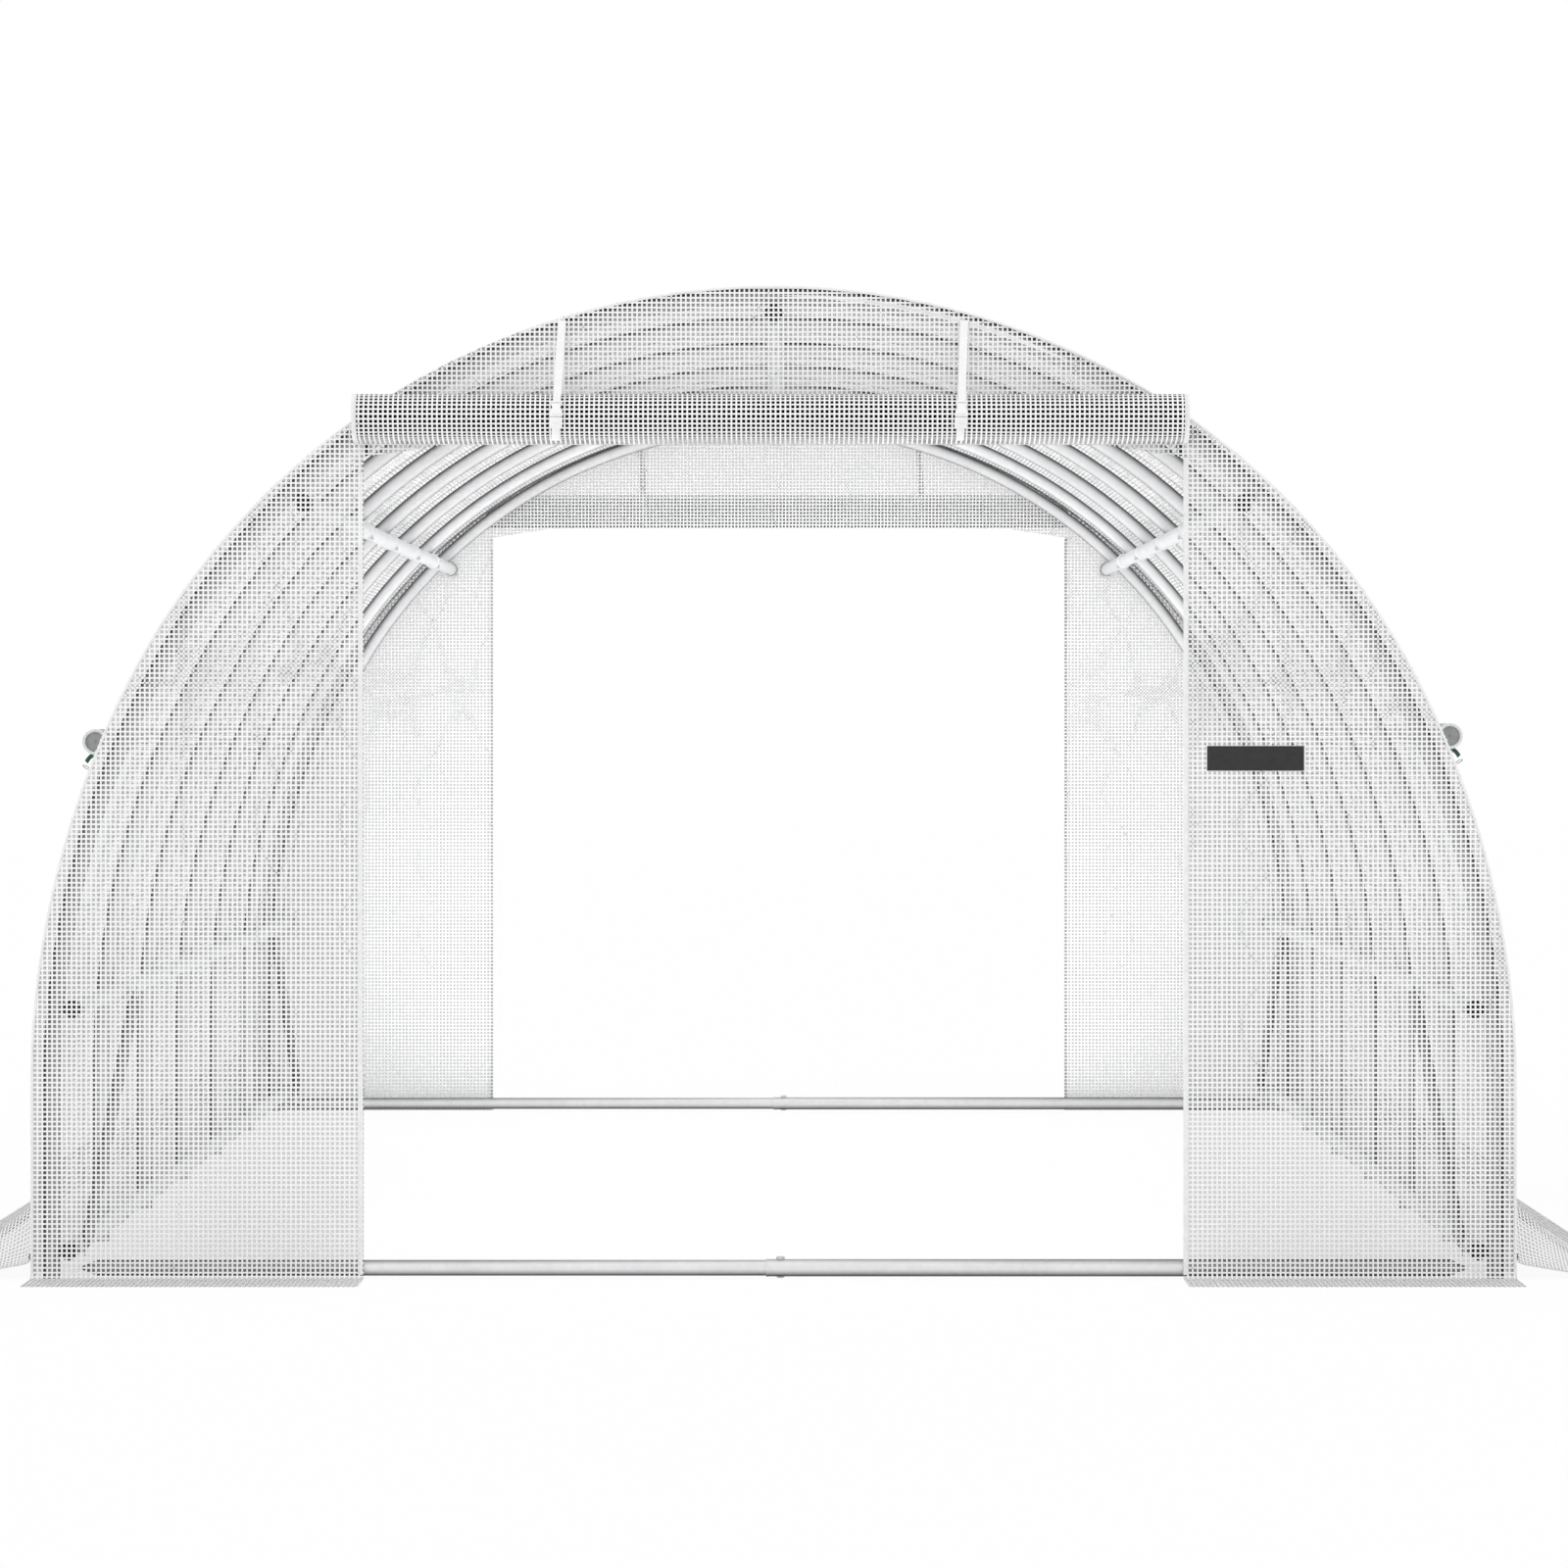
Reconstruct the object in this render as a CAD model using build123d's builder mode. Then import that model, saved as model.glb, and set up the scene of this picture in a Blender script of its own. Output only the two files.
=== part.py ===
from build123d import *
from math import acos, asin, atan2, ceil, cos, degrees, hypot, radians, sin
import os

os.makedirs("parts", exist_ok=True)

# Polytunnel greenhouse, 3 m wide, 6 m long and 2 m high, in millimetres.
# +Z is up, the front door faces -Y, and the origin is on the ground under the middle.

# Driving dimensions of the cover
LENGTH = 6000
BAYS = 6
HALF_WIDTH = 1502
CROWN_HEIGHT = 2007
LEG_HEIGHT = 390
HAUNCH_RADIUS = 1795
FILM = 1.5

# Driving dimensions of the steel frame, on the centre line of a hoop
HOOP_HALF_WIDTH = 1461
HOOP_HAUNCH_RADIUS = 1760
TUBE_RADIUS = 17.5
TUBE_SIDES = 8
HOOP_BEND = 4.7
PURLIN_RADIUS = 17
SLEEVE_RADIUS = 18.5
SLEEVE_LENGTH = 70
BRACE_RADIUS = 13
CLEARANCE = 0.5

# Doorways
DOOR_HALF_WIDTH = 828
DOOR_CORNER_HEIGHT = 1660
DOOR_HEIGHT = 1685
DOOR_HAUNCH = 165
ROLL_RADIUS = 46.5
ROLL_HEIGHT = 1736
ROLL_LENGTH = 1684
STRAP_WIDTH = 16
STRAP = 1.2
STRAP_TOP = 1937
STRAP_SEAM = 22
STRAP_SIDES = 16
STRAP_PLACES = ((-1, -433), (-1, 380), (1, 411), (1, -394))

# Windows, one in each bay of each side
WINDOW_WIDTH = 600
WINDOW_BOTTOM = 740
WINDOW_TOP = 1070
WINDOW_SEAM = 15
NET = 0.8
WINDOW_ROLL_RADIUS = 26
WINDOW_ROLL_SIDES = 12
WINDOW_ROLL_LENGTH = 660
TIE_WIDTH = 12
TIE = 1
TIE_SPACING = 400
TIE_TAIL = 30

# Skirts that lie on the ground outside the walls
SIDE_SKIRT_REACH = 248
SIDE_SKIRT_TOP = 200
SIDE_SKIRT_BREAK = 150
SIDE_SKIRT_FOOT = 180
SIDE_SKIRT_BEND = 60
END_SKIRT_REACH = 200
END_SKIRT_TOP = 60
END_SKIRT_BEND = 12
SKIRT = 2

# Levels of the lengthwise tubes
SHOULDER_TURN = 46
WAIST_HEIGHT = 545
BASE_HEIGHT = 55

# Places worked out from the driving dimensions
END_Y = LENGTH / 2
HOOP_Y = END_Y - FILM - TUBE_RADIUS - CLEARANCE
HOOP_CROWN_HEIGHT = CROWN_HEIGHT - FILM - TUBE_RADIUS - CLEARANCE
BAY = 2 * HOOP_Y / BAYS
PURLIN_INSET = TUBE_RADIUS + SLEEVE_RADIUS
SEAM_HEIGHT = 1600


def crown_radius(half_width, crown_height, haunch_radius):
    """Radius of the crown arc that meets both haunch arcs without a kink."""
    rise = crown_height - LEG_HEIGHT
    side = haunch_radius - half_width
    return (haunch_radius**2 - side**2 - rise**2) / (2 * (haunch_radius - rise))


def haunch_turn(half_width, crown_height, haunch_radius):
    """Angle through which a haunch arc turns before the crown arc takes over."""
    radius = crown_radius(half_width, crown_height, haunch_radius)
    return degrees(acos((haunch_radius - half_width) / (haunch_radius - radius)))


def draw_arch(half_width, crown_height, haunch_radius):
    """Plumb legs, two haunch arcs and one crown arc, drawn from right to left."""
    radius = crown_radius(half_width, crown_height, haunch_radius)
    turn = haunch_turn(half_width, crown_height, haunch_radius)
    side = haunch_radius - half_width
    Line((half_width, 0), (half_width, LEG_HEIGHT))
    CenterArc((-side, LEG_HEIGHT), haunch_radius, 0, turn)
    CenterArc((0, crown_height - radius), radius, turn, 180 - 2 * turn)
    CenterArc((side, LEG_HEIGHT), haunch_radius, 180 - turn, turn)
    Line((-half_width, LEG_HEIGHT), (-half_width, 0))


def draw_tunnel(inset):
    """Closed outline of the tunnel, a given distance inside its outer skin."""
    draw_arch(HALF_WIDTH - inset, CROWN_HEIGHT - inset, HAUNCH_RADIUS - inset)
    Line((-HALF_WIDTH + inset, 0), (HALF_WIDTH - inset, 0))


def wall_turn(height):
    """Slope of the wall's outward normal on the haunch at a height, in degrees."""
    return degrees(asin((height - LEG_HEIGHT) / HAUNCH_RADIUS))


def wall_at(height, stand_off):
    """Point on the right wall's haunch at a height, moved outward square to the wall."""
    turn = radians(wall_turn(height))
    reach = HAUNCH_RADIUS + stand_off
    return HALF_WIDTH - HAUNCH_RADIUS + reach * cos(turn), LEG_HEIGHT + reach * sin(turn)


def hoop_corners():
    """Corners of a hoop's centre line, close enough for a round arch, with one at every crossing."""
    radius = crown_radius(HOOP_HALF_WIDTH, HOOP_CROWN_HEIGHT, HOOP_HAUNCH_RADIUS)
    turn = haunch_turn(HOOP_HALF_WIDTH, HOOP_CROWN_HEIGHT, HOOP_HAUNCH_RADIUS)
    waist_turn = degrees(asin((WAIST_HEIGHT - LEG_HEIGHT) / (HOOP_HAUNCH_RADIUS - PURLIN_INSET)))
    stops = (0, waist_turn, turn, SHOULDER_TURN, 90)
    corners = [(HOOP_HALF_WIDTH, 0), (HOOP_HALF_WIDTH, LEG_HEIGHT)]
    for start, stop in zip(stops, stops[1:]):
        steps = ceil((stop - start) / HOOP_BEND)
        for step in range(1, steps + 1):
            angle = start + (stop - start) * step / steps
            reach = HOOP_HAUNCH_RADIUS if stop <= turn else radius
            centre_x = HOOP_HALF_WIDTH - HOOP_HAUNCH_RADIUS if stop <= turn else 0
            centre_z = LEG_HEIGHT if stop <= turn else HOOP_CROWN_HEIGHT - radius
            x = centre_x + reach * cos(radians(angle))
            corners.append((x, centre_z + reach * sin(radians(angle))))
    return corners + [(-x, z) for x, z in reversed(corners[:-1])]


def lengthwise_lines():
    """Name and centre of each lengthwise tube line, just inside the hoops."""
    radius = crown_radius(HOOP_HALF_WIDTH, HOOP_CROWN_HEIGHT, HOOP_HAUNCH_RADIUS)
    crown_centre = HOOP_CROWN_HEIGHT - radius
    inner = radius - PURLIN_INSET
    shoulder_x = inner * cos(radians(SHOULDER_TURN))
    shoulder_z = crown_centre + inner * sin(radians(SHOULDER_TURN))
    waist_turn = asin((WAIST_HEIGHT - LEG_HEIGHT) / (HOOP_HAUNCH_RADIUS - PURLIN_INSET))
    waist_x = HOOP_HALF_WIDTH - HOOP_HAUNCH_RADIUS
    waist_x += (HOOP_HAUNCH_RADIUS - PURLIN_INSET) * cos(waist_turn)
    base_x = HOOP_HALF_WIDTH - PURLIN_INSET
    lines = [("ridge_purlin", 0, HOOP_CROWN_HEIGHT - PURLIN_INSET)]
    for side, sign in (("left", -1), ("right", 1)):
        lines.append((f"{side}_shoulder_purlin", sign * shoulder_x, shoulder_z))
        lines.append((f"{side}_waist_purlin", sign * waist_x, WAIST_HEIGHT))
        lines.append((f"{side}_base_rail", sign * base_x, BASE_HEIGHT))
    return lines


# Seven steel hoops, each one tube swept round the arch with its feet on the ground
for number in range(BAYS + 1):
    hoop_y = number * BAY - HOOP_Y
    with BuildPart() as hoop:
        with BuildLine(Plane.XZ.offset(-hoop_y)):
            Polyline(*hoop_corners())
        with BuildSketch(Plane.XY):
            with Locations((HOOP_HALF_WIDTH, hoop_y)):
                RegularPolygon(TUBE_RADIUS, TUBE_SIDES)
        sweep(transition=Transition.RIGHT)
    hoop.part.label = f"hoop_{number + 1}"
    export_step(hoop.part, f"parts/hoop_{number + 1}.step")

# Seven lengthwise tube lines, one tube for each bay, sleeved together at the hoops
CAP_FACE = 3
CAP_LENGTH = 12
PURLIN_END = END_Y - FILM - CLEARANCE - CAP_FACE
for name, line_x, line_z in lengthwise_lines():
    with BuildPart() as purlin:
        with BuildSketch(Plane.XZ.offset(-PURLIN_END)):
            with Locations((line_x, line_z)):
                RegularPolygon(PURLIN_RADIUS, TUBE_SIDES)
        extrude(amount=2 * PURLIN_END)
        for number in range(1, BAYS):
            sleeve_y = number * BAY - HOOP_Y + SLEEVE_LENGTH / 2
            with BuildSketch(Plane.XZ.offset(-sleeve_y)):
                with Locations((line_x, line_z)):
                    RegularPolygon(SLEEVE_RADIUS, TUBE_SIDES)
            extrude(amount=SLEEVE_LENGTH)
    purlin.part.label = name
    export_step(purlin.part, f"parts/{name}.step")

# Black caps pushed over both ends of every lengthwise line
with BuildPart() as purlin_end_caps:
    for name, line_x, line_z in lengthwise_lines():
        with BuildSketch(Plane.XZ.offset(PURLIN_END + CAP_FACE)):
            with Locations((line_x, line_z)):
                RegularPolygon(SLEEVE_RADIUS, TUBE_SIDES)
        extrude(amount=-CAP_LENGTH)
        with BuildSketch(Plane.XZ.offset(PURLIN_END)):
            with Locations((line_x, line_z)):
                RegularPolygon(PURLIN_RADIUS, TUBE_SIDES)
        extrude(amount=-CAP_LENGTH, mode=Mode.SUBTRACT)
    mirror(about=Plane.XZ)
purlin_end_caps.part.label = "purlin_end_caps"
export_step(purlin_end_caps.part, "parts/purlin_end_caps.step")

# A sill tube crosses each doorway at the ground, a wide half sleeved over a narrow one.
# Its flattened ends pass under the base rails to the legs of the end hoop.
SILL_RADIUS = 17.5
SILL_INNER_RADIUS = 16
SILL_SIDES = 12
SILL_CENTRE = 21
SILL_JOINT_X = -15
SILL_BOLT_X = 14
SILL_HEAD_RADIUS = 8.5
SILL_HEAD_HEIGHT = 6
SILL_NUT_HEIGHT = 3
SILL_TAB = 3
SILL_TAB_WIDTH = 30
line_x = {name: x for name, x, z in lengthwise_lines()}
sill_reach = line_x["right_base_rail"] - SLEEVE_RADIUS
tab_reach = HOOP_HALF_WIDTH - TUBE_RADIUS
for name, sill_y in (("front_sill_tube", -HOOP_Y), ("rear_sill_tube", HOOP_Y)):
    with BuildPart() as sill:
        with BuildSketch(Plane.YZ.offset(-sill_reach)):
            with Locations((sill_y, SILL_CENTRE)):
                RegularPolygon(SILL_INNER_RADIUS, SILL_SIDES)
        extrude(amount=sill_reach + SILL_JOINT_X)
        with BuildSketch(Plane.YZ.offset(SILL_JOINT_X)):
            with Locations((sill_y, SILL_CENTRE)):
                RegularPolygon(SILL_RADIUS, SILL_SIDES)
        extrude(amount=sill_reach - SILL_JOINT_X)
        with BuildSketch(Plane.YZ.offset(-tab_reach)):
            with Locations((sill_y, SILL_CENTRE)):
                Rectangle(SILL_TAB_WIDTH, SILL_TAB)
        extrude(amount=2 * tab_reach)
        with BuildSketch(Plane.XY.offset(SILL_CENTRE)):
            with Locations((SILL_BOLT_X, sill_y)):
                RegularPolygon(SILL_HEAD_RADIUS, 6)
        extrude(amount=SILL_RADIUS + SILL_HEAD_HEIGHT)
        with BuildSketch(Plane.XY.offset(SILL_CENTRE)):
            with Locations((SILL_BOLT_X, sill_y)):
                RegularPolygon(SILL_HEAD_RADIUS, 6)
        extrude(amount=-SILL_RADIUS - SILL_NUT_HEIGHT)
    sill.part.label = name
    export_step(sill.part, f"parts/{name}.step")

# Braces rise from the base rail at the end hoop to the waist purlin at the next one.
# A bolt at each end holds them to the inner side of those lines.
BRACE_INSET = SLEEVE_RADIUS + BRACE_RADIUS
BRACE_BOLT_RADIUS = 5
brace_foot_x = line_x["right_base_rail"] - BRACE_INSET
brace_head_x = line_x["right_waist_purlin"] - BRACE_INSET
for end, end_sign in (("front", -1), ("rear", 1)):
    for side, side_sign in (("left", -1), ("right", 1)):
        foot = Vector(side_sign * brace_foot_x, end_sign * HOOP_Y, BASE_HEIGHT)
        head = Vector(side_sign * brace_head_x, end_sign * (HOOP_Y - BAY), WAIST_HEIGHT)
        with BuildPart() as brace:
            with BuildSketch(Plane(origin=foot, x_dir=(1, 0, 0), z_dir=head - foot)):
                RegularPolygon(BRACE_RADIUS, TUBE_SIDES)
            extrude(amount=(head - foot).length)
            for place, reach in ((foot, BRACE_INSET - PURLIN_RADIUS), (head, BRACE_RADIUS)):
                with BuildSketch(Plane.YZ.offset(place.X)):
                    with Locations((place.Y, place.Z)):
                        RegularPolygon(BRACE_BOLT_RADIUS, 6)
                extrude(amount=side_sign * reach)
        brace.part.label = f"{end}_{side}_brace"
        export_step(brace.part, f"parts/{end}_{side}_brace.step")

# The cover is one skin over the hoops, in a roof strip and two side strips
COVER_LENGTH = LENGTH - 2 * FILM
with BuildPart() as roof_cover:
    with BuildSketch(Plane.XZ.offset(COVER_LENGTH / 2)):
        with BuildLine():
            draw_tunnel(0)
        make_face()
        with BuildLine():
            draw_tunnel(FILM)
        make_face(mode=Mode.SUBTRACT)
        with Locations((0, SEAM_HEIGHT)):
            Rectangle(2 * HALF_WIDTH, CROWN_HEIGHT, align=(Align.CENTER, Align.MIN), mode=Mode.INTERSECT)
    extrude(amount=-COVER_LENGTH)
roof_cover.part.label = "roof_cover"
export_step(roof_cover.part, "parts/roof_cover.step")

window_height = WINDOW_TOP - WINDOW_BOTTOM
for side, sign in (("left", -1), ("right", 1)):
    with BuildPart() as side_cover:
        with BuildSketch(Plane.XZ.offset(COVER_LENGTH / 2)):
            with BuildLine():
                draw_tunnel(0)
            make_face()
            with BuildLine():
                draw_tunnel(FILM)
            make_face(mode=Mode.SUBTRACT)
            with Locations((sign * HALF_WIDTH / 2, SEAM_HEIGHT / 2)):
                Rectangle(HALF_WIDTH, SEAM_HEIGHT, mode=Mode.INTERSECT)
        extrude(amount=-COVER_LENGTH)
        with BuildSketch(Plane.YZ):
            with Locations((0, (WINDOW_BOTTOM + WINDOW_TOP) / 2)):
                with GridLocations(BAY, 1, BAYS, 1):
                    Rectangle(WINDOW_WIDTH, window_height)
        extrude(amount=sign * HALF_WIDTH, mode=Mode.SUBTRACT)
    side_cover.part.label = f"{side}_side_cover"
    export_step(side_cover.part, f"parts/{side}_side_cover.step")

    # Insect nets are sewn behind the windows and overlap their edges
    with BuildPart() as window_nets:
        with BuildSketch(Plane.XZ.offset(COVER_LENGTH / 2)):
            with BuildLine():
                draw_tunnel(FILM)
            make_face()
            with BuildLine():
                draw_tunnel(FILM + NET)
            make_face(mode=Mode.SUBTRACT)
            with Locations((sign * HALF_WIDTH / 2, SEAM_HEIGHT / 2)):
                Rectangle(HALF_WIDTH, SEAM_HEIGHT, mode=Mode.INTERSECT)
        extrude(amount=-COVER_LENGTH)
        with BuildSketch(Plane.YZ):
            with Locations((0, (WINDOW_BOTTOM + WINDOW_TOP) / 2)):
                with GridLocations(BAY, 1, BAYS, 1):
                    Rectangle(WINDOW_WIDTH + 2 * WINDOW_SEAM, window_height + 2 * WINDOW_SEAM)
        extrude(amount=sign * HALF_WIDTH, mode=Mode.INTERSECT)
    window_nets.part.label = f"{side}_window_nets"
    export_step(window_nets.part, f"parts/{side}_window_nets.step")

    # Each window flap is rolled up against the outside of the wall over its window
    roll_x, roll_z = wall_at(WINDOW_TOP + WINDOW_SEAM, WINDOW_ROLL_RADIUS)
    roll_turn = wall_turn(WINDOW_TOP + WINDOW_SEAM)
    with BuildPart() as window_rolls:
        for number in range(BAYS):
            bay_y = (number + 0.5) * BAY - HOOP_Y
            with BuildSketch(Plane.XZ.offset(-bay_y - WINDOW_ROLL_LENGTH / 2)):
                with Locations((sign * roll_x, roll_z)):
                    RegularPolygon(WINDOW_ROLL_RADIUS, WINDOW_ROLL_SIDES, rotation=sign * roll_turn)
            extrude(amount=WINDOW_ROLL_LENGTH)
    window_rolls.part.label = f"{side}_window_rolls"
    export_step(window_rolls.part, f"parts/{side}_window_rolls.step")

# Ribbon ties hang from the lowest edge of the rolled window flaps, two to each
TIE_EDGE = 60
with BuildPart() as window_ties:
    edge_turn = radians(180 + TIE_EDGE + roll_turn)
    tie_x = roll_x + WINDOW_ROLL_RADIUS * cos(edge_turn)
    tie_z = roll_z + WINDOW_ROLL_RADIUS * sin(edge_turn)
    for sign in (-1, 1):
        for number in range(BAYS):
            bay_y = (number + 0.5) * BAY - HOOP_Y
            with BuildSketch(Plane.XY.offset(tie_z)):
                with Locations((sign * tie_x, bay_y)):
                    with GridLocations(1, TIE_SPACING, 1, 2):
                        Rectangle(TIE, TIE_WIDTH)
            extrude(amount=-TIE_TAIL)
window_ties.part.label = "window_ties"
export_step(window_ties.part, "parts/window_ties.step")

# Each end wall is a sheet beside the doorway on both sides and a sheet over it
for end, end_sign in (("front", -1), ("rear", 1)):
    outer_face = Plane.XZ.offset(END_Y if end == "front" else FILM - END_Y)
    for side, sign in (("left", -1), ("right", 1)):
        with BuildPart() as end_panel:
            with BuildSketch(outer_face):
                with BuildLine():
                    draw_tunnel(0)
                make_face()
                with Locations((sign * (DOOR_HALF_WIDTH + HALF_WIDTH / 2), CROWN_HEIGHT / 2)):
                    Rectangle(HALF_WIDTH, CROWN_HEIGHT, mode=Mode.INTERSECT)
            extrude(amount=-FILM)
        end_panel.part.label = f"{end}_panel_{side}"
        export_step(end_panel.part, f"parts/{end}_panel_{side}.step")
    with BuildPart() as end_top:
        with BuildSketch(outer_face):
            with BuildLine():
                draw_tunnel(0)
            make_face()
            with BuildLine():
                Polyline(
                    (-DOOR_HALF_WIDTH, DOOR_CORNER_HEIGHT),
                    (DOOR_HAUNCH - DOOR_HALF_WIDTH, DOOR_HEIGHT),
                    (DOOR_HALF_WIDTH - DOOR_HAUNCH, DOOR_HEIGHT),
                    (DOOR_HALF_WIDTH, DOOR_CORNER_HEIGHT),
                    (DOOR_HALF_WIDTH, 2 * CROWN_HEIGHT),
                    (-DOOR_HALF_WIDTH, 2 * CROWN_HEIGHT),
                    close=True,
                )
            make_face(mode=Mode.INTERSECT)
        extrude(amount=-FILM)
    end_top.part.label = f"{end}_panel_top"
    export_step(end_top.part, f"parts/{end}_panel_top.step")

    # The door curtain is rolled up and hangs outside over its doorway
    roll_y = END_Y + STRAP + ROLL_RADIUS
    with BuildPart() as door_roll:
        with BuildSketch(Plane.YZ.offset(-ROLL_LENGTH / 2)):
            with Locations((end_sign * roll_y, ROLL_HEIGHT)):
                Circle(ROLL_RADIUS)
        extrude(amount=ROLL_LENGTH)
    door_roll.part.label = f"{end}_door_roll"
    export_step(door_roll.part, f"parts/{end}_door_roll.step")

# Two straps at each end are sewn to the head of the wall and loop round the roll
strap_foot = STRAP_TOP - STRAP_SEAM
strap_reach = hypot(roll_y - END_Y, strap_foot - ROLL_HEIGHT)
strap_aim = atan2(strap_foot - ROLL_HEIGHT, END_Y - roll_y)
touch_turn = strap_aim - acos(ROLL_RADIUS / strap_reach)
flat_turn = 180 / STRAP_SIDES


def on_roll(radius, end_sign):
    """Place where a strap meets the roll, seen along the roll, at a radius from its middle."""
    return end_sign * (roll_y + radius * cos(touch_turn)), ROLL_HEIGHT + radius * sin(touch_turn)


with BuildPart() as roll_straps:
    for end_sign, strap_x in STRAP_PLACES:
        with BuildSketch(Plane.YZ.offset(strap_x - STRAP_WIDTH / 2)):
            with Locations((end_sign * roll_y, ROLL_HEIGHT)):
                RegularPolygon(
                    ROLL_RADIUS + STRAP, STRAP_SIDES, major_radius=False, rotation=flat_turn
                )
                RegularPolygon(
                    ROLL_RADIUS,
                    STRAP_SIDES,
                    major_radius=False,
                    rotation=flat_turn,
                    mode=Mode.SUBTRACT,
                )
            with BuildLine():
                Polyline(
                    (end_sign * END_Y, STRAP_TOP),
                    (end_sign * (END_Y + STRAP), STRAP_TOP),
                    (end_sign * (END_Y + STRAP), strap_foot),
                    on_roll(ROLL_RADIUS + STRAP, end_sign),
                    on_roll(ROLL_RADIUS, end_sign),
                    (end_sign * END_Y, strap_foot),
                    close=True,
                )
            make_face()
        extrude(amount=STRAP_WIDTH)
roll_straps.part.label = "roll_straps"
export_step(roll_straps.part, "parts/roll_straps.step")

# A side-release buckle sits on each strap, on the outer face of the roll
BUCKLE_CENTRE = 1743
BUCKLE_DEPTH = 9
BUCKLE_EDGE = (
    (11, 27.5),
    (13, 24.5),
    (13, 19),
    (9.75, 15.5),
    (9.75, 11.5),
    (13, 7),
    (13, -25.5),
    (11, -27.5),
)
buckle_outline = BUCKLE_EDGE + tuple((-x, z) for x, z in reversed(BUCKLE_EDGE))
with BuildPart() as strap_buckles:
    for end_sign, strap_x in STRAP_PLACES:
        with BuildSketch(Plane.XZ.offset(-end_sign * (roll_y + ROLL_RADIUS + STRAP))):
            with Locations((strap_x, BUCKLE_CENTRE)):
                Polygon(*buckle_outline, align=None)
        extrude(amount=-end_sign * BUCKLE_DEPTH)
strap_buckles.part.label = "strap_buckles"
export_step(strap_buckles.part, "parts/strap_buckles.step")

# Zip tapes edge both doorways, with a slider left at the top of each
ZIP_WIDTH = 12
ZIP = 1
ZIP_FOOT = 8
SLIDER_WIDTH = 9
SLIDER_HEIGHT = 16
SLIDER_DEPTH = 4
with BuildPart() as door_zips:
    with BuildSketch(Plane.XZ.offset(END_Y)):
        with Locations((0, (DOOR_CORNER_HEIGHT + ZIP_FOOT) / 2)):
            with GridLocations(2 * DOOR_HALF_WIDTH + ZIP_WIDTH, 1, 2, 1):
                Rectangle(ZIP_WIDTH, DOOR_CORNER_HEIGHT - ZIP_FOOT)
    extrude(amount=ZIP)
    with BuildSketch(Plane.XZ.offset(END_Y)):
        with Locations((0, DOOR_CORNER_HEIGHT - SLIDER_HEIGHT / 2)):
            with GridLocations(2 * DOOR_HALF_WIDTH + ZIP_WIDTH, 1, 2, 1):
                Rectangle(SLIDER_WIDTH, SLIDER_HEIGHT)
    extrude(amount=SLIDER_DEPTH)
    mirror(about=Plane.XZ)
door_zips.part.label = "door_zips"
export_step(door_zips.part, "parts/door_zips.step")

# A plain patch is sewn on the front wall to the right of the door
PATCH_X = 974
PATCH_Z = 1052
PATCH_WIDTH = 196
PATCH_HEIGHT = 50
PATCH = 1
with BuildPart() as sewn_patch:
    with BuildSketch(Plane.XZ.offset(END_Y)):
        with Locations((PATCH_X, PATCH_Z)):
            Rectangle(PATCH_WIDTH, PATCH_HEIGHT)
    extrude(amount=PATCH)
sewn_patch.part.label = "sewn_patch"
export_step(sewn_patch.part, "parts/sewn_patch.step")

# Side skirts leave the wall above its foot, slope out and end flat on the ground
for side, sign in (("left", -1), ("right", 1)):
    wall_x = HALF_WIDTH + SKIRT / 2
    with BuildPart() as side_skirt:
        with BuildSketch(Plane.XZ.offset(END_Y)):
            with BuildLine():
                FilletPolyline(
                    (sign * wall_x, SIDE_SKIRT_TOP),
                    (sign * wall_x, SIDE_SKIRT_BREAK),
                    (sign * (HALF_WIDTH + SIDE_SKIRT_FOOT), SKIRT / 2),
                    (sign * (HALF_WIDTH + SIDE_SKIRT_REACH), SKIRT / 2),
                    radius=SIDE_SKIRT_BEND,
                )
            trace(line_width=SKIRT)
        extrude(amount=-LENGTH)
    side_skirt.part.label = f"{side}_side_skirt"
    export_step(side_skirt.part, f"parts/{side}_side_skirt.step")

# End skirts turn out at the foot of the end walls and lie on the ground beside the doorway
for end, end_sign in (("front", -1), ("rear", 1)):
    skirt_start = DOOR_HALF_WIDTH + ZIP_WIDTH + CLEARANCE
    wall_y = END_Y + SKIRT / 2
    with BuildPart() as end_skirts:
        with BuildSketch(Plane.YZ.offset(skirt_start)):
            with BuildLine():
                FilletPolyline(
                    (end_sign * wall_y, END_SKIRT_TOP),
                    (end_sign * wall_y, SKIRT / 2),
                    (end_sign * (END_Y + END_SKIRT_REACH), SKIRT / 2),
                    radius=END_SKIRT_BEND,
                )
            trace(line_width=SKIRT)
        extrude(amount=HALF_WIDTH - skirt_start)
        mirror(about=Plane.YZ)
    end_skirts.part.label = f"{end}_skirts"
    export_step(end_skirts.part, f"parts/{end}_skirts.step")
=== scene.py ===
from math import acos, asin, atan2, cos, hypot, pi, radians, sin

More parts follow.
